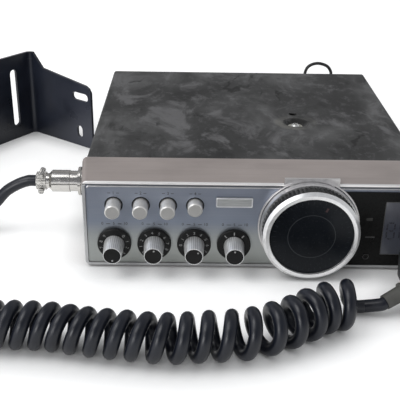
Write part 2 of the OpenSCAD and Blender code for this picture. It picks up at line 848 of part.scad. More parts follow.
module dial_collar() color("#c3c5c8") {
    difference() {
        union() {
            facing(y_front, collar_out) collar_outline();
            facing(y_panel, panel_inset + eps) intersection() {
                collar_outline();
                front_outline(rim_w + panel_gap, bezel_r - rim_w);
            }
        }
        rod_y(dial_x, dial_row, grip_front, y_panel + eps, collar_in_r);
    }
    difference() {
        slab([dial_x - block_w / 2, y_front - eps, notch_floor + panel_gap],
            [dial_x + block_w / 2, y_front + block_d, block_top]);
        rod_y(dial_x, dial_row, grip_front, y_front, collar_in_r);
    }
}

// Push buttons and their switches

module button(i) color("#d8d2c4") {
    x = button_x[i];
    shift = button_in[i];
    flange_y = y_panel_back + panel_gap + shift;
    turned(x, button_row, y_front + shift, [
        [0, y_front + shift - flange_y - eps], [button_r, y_front + shift - flange_y - eps],
        [button_r, button_out - button_edge], [button_r - button_edge, button_out], [0, button_out]
    ]);
    rod_y(x, button_row, flange_y, flange_y + button_flange_t, button_flange_r);
    rod_y(x, button_row, flange_y, stem_end + shift, stem_r);
}

module noise_button() button(0);
module scan_button() button(1);
module hold_button() button(2);
module band_button() button(3);

module switch_bank() color("#4c5a4c") difference() {
    post_x = bank_side - bank_post_in;
    post_z = bank_half_h - bank_post_in;
    union() {
        slab([button_x[0] - bank_side, bank_y, button_row - bank_half_h],
            [button_x[3] + bank_side, bank_y + bank_d, button_row + bank_half_h]);
        for (x = [button_x[0] - post_x, button_x[3] + post_x], z = [button_row - post_z, button_row + post_z])
            rod_y(x, z, y_panel_back, bank_y + 1, bank_post_r);
    }
    for (x = button_x) rod_y(x, button_row, bank_y - eps, bank_y + bank_d - 1, stem_r + fit_gap);
}

// Knobs and potentiometers

module knob(i) color("#17181a") {
    skirt_back = y_panel - skirt_gap;
    core_front = y_front - knob_out + core_sink;
    difference() {
        turned(knob_x[i], knob_row, skirt_back, [
            [0, -eps], [skirt_r, 0], [skirt_r, skirt_t - skirt_edge], [skirt_r - skirt_edge, skirt_t],
            [core_r, skirt_t], [core_r, skirt_back - core_front], [0, skirt_back - core_front]
        ]);
        translate([knob_x[i], core_front, knob_row]) rotate([0, knob_angle[i], 0])
            rod_y(0, core_r - dot_in, -1, dot_d, dot_r);
    }
    rod_y(knob_x[i], knob_row, skirt_back - eps, y_panel_back + pot_d - 3, shaft_r);
}

module sleeve(i) color("#c9cacb") {
    base = y_panel - skirt_gap - skirt_t - fit_gap;
    l = base - y_front + knob_out;
    turned(knob_x[i], knob_row, base, [
        [sleeve_bore_r, 0], [sleeve_base_r, 0], [sleeve_base_r, sleeve_foot], [sleeve_end_r, l - sleeve_edge],
        [sleeve_end_r - fit_gap, l], [sleeve_bore_r, l]
    ]);
}

module volume_knob() knob(0);
module squelch_knob() knob(1);
module gain_knob() knob(2);
module tune_knob() knob(3);
module volume_sleeve() sleeve(0);
module squelch_sleeve() sleeve(1);
module gain_sleeve() sleeve(2);
module tune_sleeve() sleeve(3);

module potentiometers() color("#9a8a52") for (x = knob_x) difference() {
    union() {
        rod_y(x, knob_row, y_panel_back, y_panel_back + pot_d, pot_r);
        rod_y(x, knob_row, y_panel, y_panel_back + eps, bushing_r);
    }
    rod_y(x, knob_row, y_panel - eps, y_panel_back + pot_d - 2, shaft_r + shaft_fit);
}

// Channel dial, from the panel outwards: silver flange, ribbed grip, silver ring, black face

module dial_body() color("#c6c8ca") {
    turned(dial_x, dial_row, dial_y, [
        [0, 0], [dial_flange_r, 0], [dial_flange_r, flange_d], [dial_hub_r, flange_d],
        [dial_hub_r, dial_y - grip_front], [0, dial_y - grip_front]
    ]);
    rod_y(dial_x, dial_row, dial_y - eps, y_panel_back + switch_d - 3, shaft_r);
}

function rib_at(a) = dial_grip_r - rib_d * (0.5 - 0.5 * cos(grip_ribs * a));

module dial_grip() color("#1c1d1f") facing(grip_back, grip_back - grip_front)
    translate([dial_x, dial_row]) difference() {
        steps = grip_ribs * 4;
        polygon([for (i = [0:steps - 1]) let (a = 360 * i / steps) rib_at(a) * [cos(a), sin(a)]]);
        circle(r = dial_hub_r + shaft_fit);
    }

module dial_ring() color("#d6d8da") turned(dial_x, dial_row, grip_front, [
    [dial_face_r, 0], [dial_ring_r, 0], [dial_ring_r, ring_depth - ring_bevel],
    [dial_ring_r - ring_bevel, ring_depth], [dial_face_r, ring_depth]
]);

module dial_face() color("#0e0f12") turned(dial_x, dial_row, grip_front, [
    [0, 0], [dial_face_r - shaft_fit, 0], [dial_face_r - shaft_fit, ring_depth - face_sink],
    [0, ring_depth - face_sink]
]);

module channel_switch() color("#7d6a4a") difference() {
    union() {
        rod_y(dial_x, dial_row, y_panel_back, y_panel_back + switch_d, switch_r);
        rod_y(dial_x, dial_row, y_panel, y_panel_back + eps, bushing_r);
    }
    rod_y(dial_x, dial_row, y_panel - eps, y_panel_back + switch_d - 2, shaft_r + shaft_fit);
}

module display_board() color("#2f5a3c") {
    y = y_panel_back + board_back;
    lap = 2 * window_lap;
    slab([window_left - 3 * lap, y, window_floor - 2 * lap],
        [window_right, y + board_t, window_top + 2 * lap]);
    slab([window_left + lap, y_panel + fit_gap, window_floor + lap],
        [window_right - lap, y + eps, window_top - lap]);
    for (x = [window_left - 2 * lap, window_right - lap], z = [window_floor - lap, window_top + lap])
        rod_y(x, z, y_panel_back, y + eps, display_post_r);
}

// Inside of the cabinet

module circuit_board() color("#3d6b45")
    slab([-board_edge, board_y[0], board_low], [board_edge, board_y[1], board_top]);

module on_board(at, pitch) translate([at[0] + pitch[0], at[1] + pitch[1], board_top]) children();

module board_parts() {
    color("#2b3a6b") for (i = [0:3]) on_board(capacitor_at, [i * capacitor_pitch, 0])
        cylinder(r = capacitor_r, h = capacitor_h - i);
    color("#1a1b1d") for (i = [0:2]) on_board(chip_at, [i * chip_pitch, 0]) cube(chip_size);
    color("#b9bcbf") for (i = [0:4]) on_board(can_at, [i * can_pitch, 0]) cube(can_size);
    color("#c9ccd0") on_board(crystal_at, [0, 0]) cube(crystal_size);
    color("#8b5a2b") for (i = [0:1]) on_board(choke_at, [0, i * choke_pitch])
        cylinder(r = choke_r, h = choke_h);
}

module heat_sink() color("#9fa3a7") {
    w = heat_sink_x[1] - heat_sink_x[0];
    h = heat_sink_z[1] - heat_sink_z[0];
    translate([heat_sink_x[0], rear_in_y - heat_sink_t, heat_sink_z[0]]) cube([w, heat_sink_t, h]);
    for (i = [0:fins - 1])
        translate([heat_sink_x[0] + i * (w - fin_t) / (fins - 1), rear_in_y - heat_sink_d, heat_sink_z[0]])
            cube([fin_t, heat_sink_d - heat_sink_t + 1, h]);
}

module speaker_basket() color("#55585c") translate([0, speaker_y, sheet_t]) rotate_extrude() polygon([
    [speaker_r - speaker_rim, 0], [speaker_r, 0], [speaker_r, speaker_rim],
    [speaker_r - speaker_rim, rim_back], [magnet_r, neck_z], [magnet_r, speaker_deep], [0, speaker_deep],
    [0, neck_z + 0.5], [coil_r_in, neck_z + 0.5], [coil_r_out, coil_z_in],
    [speaker_r - 2 * speaker_rim, rim_front], [speaker_r - speaker_rim, rim_front]
]);

module speaker_cone() color("#2a2522") translate([0, speaker_y, sheet_t]) rotate_extrude() polygon([
    [speaker_r - speaker_rim - cone_gap, rim_front - cone_t - fit_gap],
    [speaker_r - speaker_rim - cone_gap, rim_front - fit_gap],
    [speaker_r - 2 * speaker_rim - cone_gap, rim_front - fit_gap], [coil_r_in, cone_z], [0, dome_z],
    [0, dome_z - cone_t], [coil_r_in, cone_z - cone_t],
    [speaker_r - 2 * speaker_rim - cone_gap, rim_front - cone_t - fit_gap]
]);

// Rear of the radio

module antenna_socket() color("#c7c9cb") difference() {
    x = antenna_at[0];
    z = antenna_at[1];
    union() {
        translate([x - antenna_flange / 2, rear_out_y, z - antenna_flange / 2])
            cube([antenna_flange, antenna_flange_t, antenna_flange]);
        rod_y(x, z, rear_out_y + 1, rear_out_y + antenna_l, antenna_r);
        rod_y(x, z, rear_in_y - 2 * antenna_pin_r - 4, rear_out_y + 1, antenna_neck_r);
    }
    rod_y(x, z, rear_out_y + antenna_flange_t + 1, rear_out_y + antenna_l + eps, antenna_r - antenna_wall);
    rod_y(x, z, rear_in_y - 2 * antenna_pin_r, rear_out_y + antenna_l + eps, antenna_pin_r);
}

module speaker_jacks() color("#26272a") for (j = jack_at) difference() {
    union() {
        rod_y(j[0], j[1], rear_out_y, rear_out_y + 1.6, jack_collar_r);
        rod_y(j[0], j[1], rear_in_y - jack_d, rear_out_y + eps, jack_neck_r);
        rod_y(j[0], j[1], rear_in_y - jack_d, rear_in_y, jack_collar_r);
    }
    rod_y(j[0], j[1], rear_in_y - jack_d + 1, rear_out_y + 2, jack_r);
}

module power_grommet() color("#1b1b1d") difference() {
    x = grommet_at[0];
    z = grommet_at[1];
    union() {
        rod_y(x, z, rear_out_y, grommet_y, grommet_r);
        rod_y(x, z, rear_in_y - grommet_back, rear_out_y + eps, grommet_neck_r);
        rod_y(x, z, rear_in_y - grommet_back, rear_in_y, grommet_r);
    }
    rod_y(x, z, rear_in_y - grommet_back - 1, grommet_y - 1, lead_d / 2);
}

// Power lead

function climb(n) = [for (k = [1:coil_layers - 1]) max(0, min(1, (n - k * coil_turns + 0.25) / 0.5))];
function sum(v) = [for (x = v) 1] * v;
function coil_r(n) = coil_in_r + coil_step * abs(coil_turns - (n % (2 * coil_turns)));
function coil_turn(n) = let (a = coil_entry + 360 * n)
    [coil_at[0] + coil_r(n) * cos(a), coil_at[1] + coil_r(n) * sin(a), coil_z + coil_step * sum(climb(n))];
coil_spiral = [for (i = [0:coil_loops * coil_rings]) coil_turn(i / coil_rings)];
coil_way = [-sin(coil_entry), cos(coil_entry), 0];
coil_start = coil_spiral[0] - coil_way * lead_d * end_straight;
coil_exit = coil_spiral[len(coil_spiral) - 1];
fuse_line = [coil_exit[0], coil_exit[1], fuse_z];
coil_tail = [
    coil_exit + tail_run[0] * coil_way, coil_exit + tail_run[1] * coil_way - [0, 0, 1],
    fuse_line + tail_run[2] * coil_way + [0, 0, 0.6], fuse_line + tail_run[3] * coil_way
];
fuse_at = fuse_line + (tail_run[3] + lead_d * end_straight) * coil_way;
coil_points = concat([coil_start], coil_spiral, coil_tail, [fuse_at]);
power_start = [grommet_at[0], grommet_y, grommet_at[1]];
power_way = [for (p = power_route)
    [power_start[0] + p[0], power_start[1] + p[1], coil_z + p[2] * (power_start[2] - coil_z)]];
power_points = concat([power_start], curve(concat([power_start + [0, lead_d * end_straight, 0]], power_way,
    [coil_start - coil_way * lead_d * end_straight]), route_steps), [coil_start]);

module power_lead() color("#1d1e20") tube(power_points, lead_d, lead_sides, [0, 0, 1]);
module power_lead_coil() color("#1d1e20") tube(coil_points, lead_d, coil_sides, [0, 0, 1]);

module coil_tie() color("#111214") translate([coil_at[0], coil_at[1], 0]) rotate([0, 0, coil_entry + 180])
    translate([0, tie_w / 2, 0]) rotate([90, 0, 0]) linear_extrude(tie_w) difference() {
        low_r = coil_in_r + coil_step / 2 - lead_d / 2 - tie_gap;
        high_r = coil_out_r - coil_step / 2 + lead_d / 2 + tie_gap;
        high_z = coil_z + (coil_layers - 1) * coil_step + lead_d / 2 + tie_gap;
        translate([low_r - tie_t, 0]) square([high_r - low_r + 2 * tie_t, high_z + tie_t]);
        translate([low_r, tie_t]) square([high_r - low_r, high_z - tie_t]);
    }

module fuse_holder() color("#141517") translate(fuse_at) rotate([0, 0, coil_entry + 180]) rotate([90, 0, 0])
    rotate_extrude() polygon([
        [0, 0], [fuse_neck_r[0], 0], [fuse_neck_r[1], fuse_neck_l[0]], [fuse_r, fuse_neck_l[1]],
        [fuse_r, fuse_l - fuse_neck_l[1]], [fuse_neck_r[1], fuse_l - fuse_neck_l[0]],
        [fuse_neck_r[0], fuse_l], [0, fuse_l]
    ]);

// Microphone plug and cord

module mic_socket() color("#b9babb") {
    difference() {
        union() {
            rod_x(socket_y, socket_row, socket_face + socket_flange_t, -half_w,
                socket_flange_r - socket_flange_t);
            rod_x(socket_y, socket_row, socket_face, socket_face + socket_flange_t, socket_flange_r);
            rod_x(socket_y, socket_row, socket_face - spout_l, socket_face + eps, spout_r);
            rod_x(socket_y, socket_row, -half_w - eps, -rail_in_x + socket_nut_t + 1, socket_neck_r);
            rod_x(socket_y, socket_row, -rail_in_x, -rail_in_x + socket_nut_t, socket_flange_r);
        }
        rod_x(socket_y, socket_row, socket_face - spout_l - 1, socket_face, spout_r - spout_wall);
    }
}

module plug_coupling_ring() color("#c8c8c6") difference() {
    rod_x(socket_y, socket_row, coupling_to, coupling_from, coupling_r);
    rod_x(socket_y, socket_row, coupling_to - 1, coupling_from + 1, spout_r + fit_gap);
}

module plug_barrel() color("#cfcfcd") difference() {
    union() {
        translate([barrel_from, socket_y, socket_row]) rotate([0, -90, 0]) rotate_extrude() polygon([
            [0, 0], [barrel_r, 0], [barrel_r, barrel_l - barrel_edge], [barrel_r - barrel_edge, barrel_l],
            [0, barrel_l]
        ]);
        rod_x(socket_y, socket_row, clamp_from, barrel_to + eps, neck_r);
    }
    rod_x(socket_y, socket_row, barrel_from - 2 * spout_in, barrel_from + 1, spout_r + fit_gap);
}

module plug_clamp() color("#c2c2bf") difference() {
    union() {
        rod_x(socket_y, socket_row, clamp_to, clamp_from, clamp_r);
        for (z = [clamp_grip - barrel_r, barrel_r - clamp_grip])
            translate([clamp_from - clamp_l / 2, socket_y, socket_row + z]) rotate([90, 0, 0])
                cylinder(r = clamp_screw_r, h = 2 * (barrel_r - 1), center = true);
    }
    rod_x(socket_y, socket_row, clamp_to - 1, clamp_to + clamp_grip, cord_d / 2 + 2 * fit_gap);
}

cord_start = [clamp_to + clamp_grip, socket_y, socket_row];
// The helix winds to the left about the way from the plug to the microphone, and swells on its way
function axis_at(u) = let (last = len(curl_axis) - 1, s = u * last, i = min(floor(s), last - 1))
    curve_at(curl_axis[max(i - 1, 0)], curl_axis[i], curl_axis[i + 1], curl_axis[min(i + 2, last)], s - i);
function curl_point(n) = let (
    u = n / curls,
    c = axis_at(u),
    way = unit(axis_at(min(1, u + axis_step)) - axis_at(max(0, u - axis_step))),
    a = curl_start - 360 * n,
    r = curl_mean_r * (1 + curl_swell * max(0, u - swell_from) / (1 - swell_from)),
    out = r * cos(a),
    lean = curl_lean * (1 - n / upright_curl) * sin(a))
    front_left + [c[0] + lean * way[0] - out * way[1], c[1] + lean * way[1] + out * way[0],
        cord_z + r + r * sin(a)];
curl_helix = [for (i = [curl_first * curl_rings:curl_last * curl_rings]) curl_point(i / curl_rings)];

// A quarter turn from a low run of cord up to an upright strand
function low_bend(p, way, low) = [for (a = [0:bend_step:90 - bend_step])
    let (along = bend_run * (1 - sin(a))) [p[0] + along * way[0], p[1] + along * way[1],
        low + (p[2] - low) * (1 - cos(a))]];
function way_at(u) = unit(axis_at(u + axis_step) - axis_at(u - axis_step));
curls_in = way_at(curl_first / curls);
curls_out = way_at(curl_last / curls);
bend_in = low_bend(curl_helix[0], -curls_in, cord_z);
bend_out = low_bend(curl_helix[len(curl_helix) - 1], curls_out, cord_z + tail_lift);
curls_from = bend_in[0] - cord_d * [curls_in[0], curls_in[1], 0];
curls_to = bend_out[0] + tail_straight * [curls_out[0], curls_out[1], 0];
curl_points = concat([curls_from], bend_in, curl_helix,
    [for (i = [len(bend_out) - 1:-1:0]) bend_out[i]], [curls_to]);

lead_way = [for (p = lead_route) front_left + [p[0], p[1], cord_z + p[2] * (socket_row - cord_z)]];
lead_points = concat([cord_start], curve(concat([cord_start - [cord_d, 0, 0]], lead_way,
    [curls_from - cord_d * [curls_in[0], curls_in[1], 0]]), route_steps), [curls_from]);

module mic_cord_lead() color("#20242c") tube(lead_points, cord_d, lead_sides, [0, 0, 1]);
module mic_cord_curls() color("#20242c") tube(curl_points, cord_d, coil_sides, [0, 0, 1]);

// Places on the lying microphone, whose length runs along its own X
module in_mic() translate(mic_at) rotate([0, 0, mic_turn]) rotate([0, -mic_tilt, 0]) children();
function from_mic(p) = let (
    x = p[0] * cos(mic_tilt) - p[2] * sin(mic_tilt),
    z = p[0] * sin(mic_tilt) + p[2] * cos(mic_tilt))
    mic_at + [x * cos(mic_turn) - p[1] * sin(mic_turn), x * sin(mic_turn) + p[1] * cos(mic_turn), z];

function on_relief(l) = from_mic([-l * cos(relief_droop), 0, mic_split - l * sin(relief_droop)]);
relief_end = on_relief(relief_l);
relief_lead = on_relief(relief_l + cord_d / 3);
tail_lead = curls_to + tail_straight * [curls_out[0], curls_out[1], 0];
tail_points = concat([curls_to], curve([tail_lead, relief_lead], 2 * route_steps), [relief_end]);

module mic_cord_tail() color("#20242c") tube(tail_points, cord_d, lead_sides, [0, 0, 1]);

module mic_strain_relief() color("#17191d") in_mic() translate([0, 0, mic_split]) {
    rotate([0, -90, 0]) cylinder(r = relief_r + relief_groove, h = relief_foot);
    rotate([0, -90 - relief_droop, 0]) translate([0, 0, relief_sink]) rotate_extrude() polygon(concat(
        [[0, 0], [relief_r - relief_groove, 0]],
        [for (i = [0:relief_ribs - 1])
            let (l = relief_first + i * rib_step, r = relief_r - i * relief_thin) each [
            [r - relief_groove, l], [r + relief_crest, l + rib_step * 0.15],
            [r + relief_crest, l + rib_step * 0.55], [r - relief_groove, l + rib_step * 0.7]
        ]],
        [[cord_d / 2 + relief_crest, relief_l - relief_sink], [0, relief_l - relief_sink]]));
}

// Outline of the microphone, seen from above, drawn in by a margin
module mic_outline(inset) hull() {
    for (s = [-1, 1]) {
        translate([mic_end_r, s * (mic_end_half_w - mic_end_r)]) circle(r = mic_end_r - inset, $fn = 32);
        translate([mic_l - mic_head_r, s * (mic_half_w - mic_head_r)])
            circle(r = mic_head_r - inset, $fn = 32);
    }
}

// Half of the microphone's shell from its flat back or face up to the joint
module mic_half() difference() {
    hull() {
        linear_extrude(0.1) mic_outline(mic_edge);
        translate([0, 0, mic_edge * 0.3]) linear_extrude(0.1) mic_outline(mic_edge * 0.3);
        translate([0, 0, mic_edge]) linear_extrude(mic_split - mic_edge) mic_outline(0);
    }
    translate([0, 0, mic_wall]) linear_extrude(mic_t) mic_outline(mic_edge * 0.3 + mic_wall);
    translate([talk_x - talk_gap, -mic_half_w - 5, mic_split - talk_h / 2 - talk_gap])
        cube([talk_l + 2 * talk_gap, mic_half_w + 5 - talk_in + talk_slack, talk_h]);
}

module mic_rear_shell() color("#1e2024") in_mic() difference() {
    mic_half();
    translate([hang_x, 0, -1]) cylinder(r = screw_r + fit_gap, h = mic_wall + 2);
}

module mic_front_shell() color("#222428") in_mic() translate([0, 0, mic_t]) difference() {
    mirror([0, 0, 1]) mic_half();
    for (i = [-4:4]) translate([mic_l - capsule_in, i * mic_slot_pitch, -mic_wall - 1])
        linear_extrude(mic_wall + 2)
            slot(2 * sqrt(pow(sound_r, 2) - pow(i * mic_slot_pitch, 2)) - mic_slot_w, mic_slot_w);
}

module talk_bar() color("#2c2e33") in_mic() difference() {
    translate([talk_x, -talk_out, mic_split - talk_h / 2]) cube([talk_l, talk_out - talk_in, talk_h]);
    for (x = [talk_x + talk_margin:talk_rib_pitch:talk_x + talk_l - talk_margin])
        translate([x, -talk_out - 1, mic_split - talk_h / 2 + talk_rib_in])
            cube([talk_rib_w, talk_rib_d + 1, talk_h - 2 * talk_rib_in]);
}

module mic_capsule() color("#a9acb0") in_mic()
    translate([mic_l - capsule_in, 0, mic_t - mic_wall - capsule_h]) cylinder(r = capsule_r, h = capsule_h);

module mic_hang_button() color("#c9cacc") in_mic() translate([hang_x, 0, -hang_h]) {
    cylinder(r = hang_r, h = hang_h * 0.5);
    cylinder(r = hang_r * 0.65, h = hang_h);
    cylinder(r = screw_r, h = hang_h + mic_wall);
}

// Mounting bracket, a bent strip that stands on its edge

module bracket_plan() difference() {
    rounded(0, 2 * ear_l, -bracket_l, 0, bracket_bend_r);
    rounded(bracket_t, 3 * ear_l, -bracket_l + bracket_t, -bracket_t, bracket_bend_r - bracket_t);
    translate([ear_l, -bracket_l - 1]) square([2 * ear_l, bracket_l + 2]);
}

// What is cut from an ear: its sloping top, the round corners of its free end and its two slots
module ear_cut() {
    polygon([
        [bracket_bend_r, bracket_h + 1], [bracket_bend_r, bracket_h], [ear_root, ear_root_h],
        [ear_l - ear_corner_r, ear_tip_h + 1], [ear_l - ear_corner_r * 0.4, ear_tip_h - 0.5],
        [ear_l - ear_corner_r * 0.08, ear_tip_h - 3], [ear_l + 1, ear_tip_h - 6], [ear_l + 1, bracket_h + 1]
    ]);
    translate([ear_l - ear_corner_r, ear_corner_r]) difference() {
        translate([0, -ear_corner_r - 1]) square([ear_corner_r + 1, ear_corner_r + 1]);
        circle(r = ear_corner_r);
    }
    translate([ear_l - ear_slot_at[0], ear_slot_at[1]]) slot(ear_slot_l, slot_w);
    translate([ear_l - ear_hole_at[0], ear_hole_at[1]]) rotate(90) slot(ear_hole_l, ear_hole_w);
}

module mounting_bracket() color("#191b20") translate(bracket_at) rotate([0, 0, bracket_turn]) difference() {
    linear_extrude(bracket_h) bracket_plan();
    facing(1, bracket_l + 2) ear_cut();
    for (y = [-plate_slot_in, -bracket_l + plate_slot_in])
        translate([-1, y, bracket_h / 2]) rotate([90, 0, 90]) linear_extrude(bracket_t + 2)
            rotate(90) slot(plate_slot_l, slot_w);
}

function total_of(p) = max(run_of(p));
echo(str("least gap in the curls ", least_gap(curl_points, cord_d)));
echo(str("least gap in the power lead coil ", least_gap(coil_points, lead_d)));
echo(str("microphone cord ", total_of(lead_points), " + ", total_of(curl_points), " + ",
    total_of(tail_points)));
echo(str("power lead ", total_of(power_points), " + ", total_of(coil_points)));

top_cover();
bottom_cover();
front_bezel();
front_panel();
display_panel();
display_window();
indicator_lenses();
badge_plate();
dial_collar();
rear_panel();
chassis_frame();
cover_screws();
bracket_nuts();
switch_bank();
noise_button();
scan_button();
hold_button();
band_button();
volume_knob();
squelch_knob();
gain_knob();
tune_knob();
volume_sleeve();
squelch_sleeve();
gain_sleeve();
tune_sleeve();
potentiometers();
dial_body();
dial_grip();
dial_ring();
dial_face();
channel_switch();
display_board();
circuit_board();
board_parts();
heat_sink();
speaker_basket();
speaker_cone();
antenna_socket();
speaker_jacks();
power_grommet();
power_lead();
power_lead_coil();
coil_tie();
fuse_holder();
mic_socket();
plug_coupling_ring();
plug_barrel();
plug_clamp();
mic_cord_lead();
mic_cord_curls();
mic_cord_tail();
mic_strain_relief();
mic_rear_shell();
mic_front_shell();
talk_bar();
mic_capsule();
mic_hang_button();
mounting_bracket();
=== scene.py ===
"""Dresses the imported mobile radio: camera, cords, materials, printed marks, floor and light."""
import math

import bmesh
import bpy
from mathutils import Matrix, Vector


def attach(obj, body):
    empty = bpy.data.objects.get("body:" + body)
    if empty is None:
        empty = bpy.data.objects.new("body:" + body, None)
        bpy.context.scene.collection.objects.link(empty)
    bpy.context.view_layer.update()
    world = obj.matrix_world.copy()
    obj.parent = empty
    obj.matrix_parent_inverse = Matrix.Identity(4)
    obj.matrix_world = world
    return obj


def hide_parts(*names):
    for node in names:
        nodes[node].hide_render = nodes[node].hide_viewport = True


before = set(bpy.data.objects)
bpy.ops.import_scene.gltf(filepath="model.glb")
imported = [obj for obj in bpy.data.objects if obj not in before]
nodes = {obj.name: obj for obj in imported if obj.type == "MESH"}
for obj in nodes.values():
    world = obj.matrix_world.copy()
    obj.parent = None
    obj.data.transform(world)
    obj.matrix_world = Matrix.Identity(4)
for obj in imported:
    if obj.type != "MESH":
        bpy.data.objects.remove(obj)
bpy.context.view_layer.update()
scene = bpy.context.scene
MM = 0.001

# Places of the radio in millimetres, as in the part's source

HALF_WIDTH = 96
Y_RIM = -99
FRONT_LEFT = Vector((-HALF_WIDTH, Y_RIM, 0))
Y_PANEL = -98.2
Y_DISPLAY = -99.4
PANEL_X = (-93.3, 93.3)
PANEL_Z = (3.15, 51.55)
PANEL_R = 1.2
# Heights of the rim's painted shadow line and of its painted highlight
RIM_SHADOW_LINE = 51.85
RIM_HIGHLIGHT_Z = (50.5, 52.4)
BUTTON_NAMES = ("noise", "scan", "hold", "band")
BUTTON_X = [-78.2 + 14.9 * i for i in range(4)]
BUTTON_Z = 39.2
KNOB_X = [-78.4 + 22.3 * i for i in range(4)]
KNOB_Z = 15.6
KNOB_ANGLE = (180, 7, 45, 0)
KNOB_NAMES = ("volume", "squelch", "gain", "tune")
SKIRT_FRONT = -100.5
CORE_FRONT = -113.2
DIAL = (29.65, 27.9)
DIAL_FACE = -111.6
BADGE = (-11.95, 41.65)
BADGE_SIZE = (20.2, 5.9)
WINDOW = (71.15, 87.05, 10.6, 43.3)
LAMP = (63.25, 9.1)
Y_LAMP = -99.7
LENS_Z = (26, 28)
SOCKET = (-57, 34.3)
DIMPLE = (30.9, -8.8)
DIMPLE_Z = 52.8
DIMPLE_FLOOR_R = 4.6
DIMPLE_SLOPE_R = 6.4
DIMPLE_HALO_R = 10.5
SCREW_HEAD = 1.5
SIDE_SCREW_Y = (-25, 75)
SIDE_SCREW_Z = (45, 8)
ANTENNA_THREAD_Y = (100.3, 100.8)
ANTENNA_PITCH = 1.06
EAR_X = (-155, -112)


# Camera

FOCAL_PX = 776.043
FRAME_PX = 400
SENSOR = 36
CAMERA_AT = Vector((-35.663, -479.168, 229.494)) * MM
PITCH = math.radians(26.11)
YAW = math.radians(0.721)
ROLL = math.radians(0.988)


def make_camera():
    """The camera that fits the edges of the cabinet."""
    data = bpy.data.cameras.new("camera")
    data.sensor_width = SENSOR
    data.sensor_fit = "HORIZONTAL"
    data.lens = SENSOR * FOCAL_PX / FRAME_PX
    ahead = Vector((math.sin(YAW) * math.cos(PITCH), math.cos(YAW) * math.cos(PITCH), -math.sin(PITCH)))
    level = Vector((math.cos(YAW), -math.sin(YAW), 0))
    up = level.cross(ahead)
    right = level * math.cos(ROLL) + up * math.sin(ROLL)
    top = up * math.cos(ROLL) - level * math.sin(ROLL)
    camera = bpy.data.objects.new("camera", data)
    turn = Matrix((right, top, -ahead)).transposed().to_4x4()
    camera.matrix_world = Matrix.Translation(CAMERA_AT) @ turn
    scene.collection.objects.link(camera)
    scene.camera = camera


make_camera()


# Routes of the cords, from the same values as the part's source

CORD_D = 6.7
CORD_CLEAR = 0.15
CORD_Z = CORD_D / 2 + CORD_CLEAR
CORD_START = Vector((-125.8, -57, 34.3))
# X and Y from the radio's front left foot, and how high between the floor (0) and the plug (1)
LEAD_ROUTE = (
    (-42.5, 42, 0.932), (-50.5, 41.8, 0.776), (-57.5, 41.4, 0.529), (-66, 40.4, 0.244), (-77, 37.5, 0.055),
    (-92, 29, 0), (-103, 13, 0), (-105.5, -9, 0), (-103, -33, 0), (-100, -53, 0), (-93, -69, 0),
    (-85.5, -78, 0),
)
CURL_AXIS = [Vector(p) for p in (
    (-61, -73.5), (-43.5, -73.5), (-26, -74), (-8, -75), (9.5, -78.5), (28.5, -81.5),
    (48.5, -84), (68.5, -82.5), (90.5, -79.5), (111, -69.5), (128.5, -58), (147.5, -54),
)]
CURLS = 22
CURL_R = 8.65
CURL_START = 90
CURL_FIRST = 0.75
CURL_LAST = CURLS - CURL_FIRST
CURL_SWELL = 0.12
SWELL_FROM = 0.4
CURL_LEAN = 2.5
UPRIGHT_CURL = 16
AXIS_STEP = 0.002
CURL_STEPS = 32
BEND_RUN = 8
BEND_STEPS = 8
TAIL_LIFT = 1
TAIL_STRAIGHT = 1.2
MIC_AT = Vector((84, -135.8, 0.2))
MIC_TURN = math.radians(22)
MIC_T = 29
HANG_X = 60
HANG_R = 5.5
HANG_H = 4
MIC_TILT = math.atan(HANG_H / (HANG_X - HANG_R))
RELIEF_L = 21
RELIEF_DROOP = math.radians(16)
ROUTE_STEPS = 8


def spline_at(a, b, c, d, u):
    """A point between b and c of a smooth curve through four points."""
    return 0.5 * (2 * b + (c - a) * u + (2 * a - 5 * b + 4 * c - d) * u * u
                  + (3 * b - a - 3 * c + d) * u * u * u)


def smooth(points):
    """Points of a smooth curve through given ones."""
    last = len(points) - 1
    found = []
    for i in range(last):
        around = (points[max(i - 1, 0)], points[i], points[i + 1], points[min(i + 2, last)])
        found += [spline_at(*around, j / ROUTE_STEPS) for j in range(ROUTE_STEPS)]
    return found + [points[last]]


def from_mic(x, y, z):
    """A point of the lying microphone, whose length runs along its own X."""
    along = x * math.cos(MIC_TILT) - z * math.sin(MIC_TILT)
    rise = x * math.sin(MIC_TILT) + z * math.cos(MIC_TILT)
    return MIC_AT + Vector((along * math.cos(MIC_TURN) - y * math.sin(MIC_TURN),
                            along * math.sin(MIC_TURN) + y * math.cos(MIC_TURN), rise))


def on_relief(run):
    """A point on the axis of the strain relief, at a distance from the microphone."""
    return from_mic(-run * math.cos(RELIEF_DROOP), 0, MIC_T / 2 - run * math.sin(RELIEF_DROOP))


def axis_at(u):
    """A point of the line that the curls wind about, for a share of its length."""
    last = len(CURL_AXIS) - 1
    i = min(int(u * last), last - 1)
    around = (CURL_AXIS[max(i - 1, 0)], CURL_AXIS[i], CURL_AXIS[i + 1], CURL_AXIS[min(i + 2, last)])
    return spline_at(*around, u * last - i)


def axis_way(u):
    """The direction of that line."""
    return (axis_at(min(1, u + AXIS_STEP)) - axis_at(max(0, u - AXIS_STEP))).normalized()


def curl_point(n):
    """A point of the curly cord after so many curls."""
    u = n / CURLS
    c = axis_at(u)
    way = axis_way(u)
    a = math.radians(CURL_START - 360 * n)
    r = CURL_R * (1 + CURL_SWELL * max(0, u - SWELL_FROM) / (1 - SWELL_FROM))
    out = r * math.cos(a)
    lean = CURL_LEAN * (1 - n / UPRIGHT_CURL) * math.sin(a)
    return FRONT_LEFT + Vector((c.x + lean * way.x - out * way.y, c.y + lean * way.y + out * way.x,
                                CORD_Z + r + r * math.sin(a)))


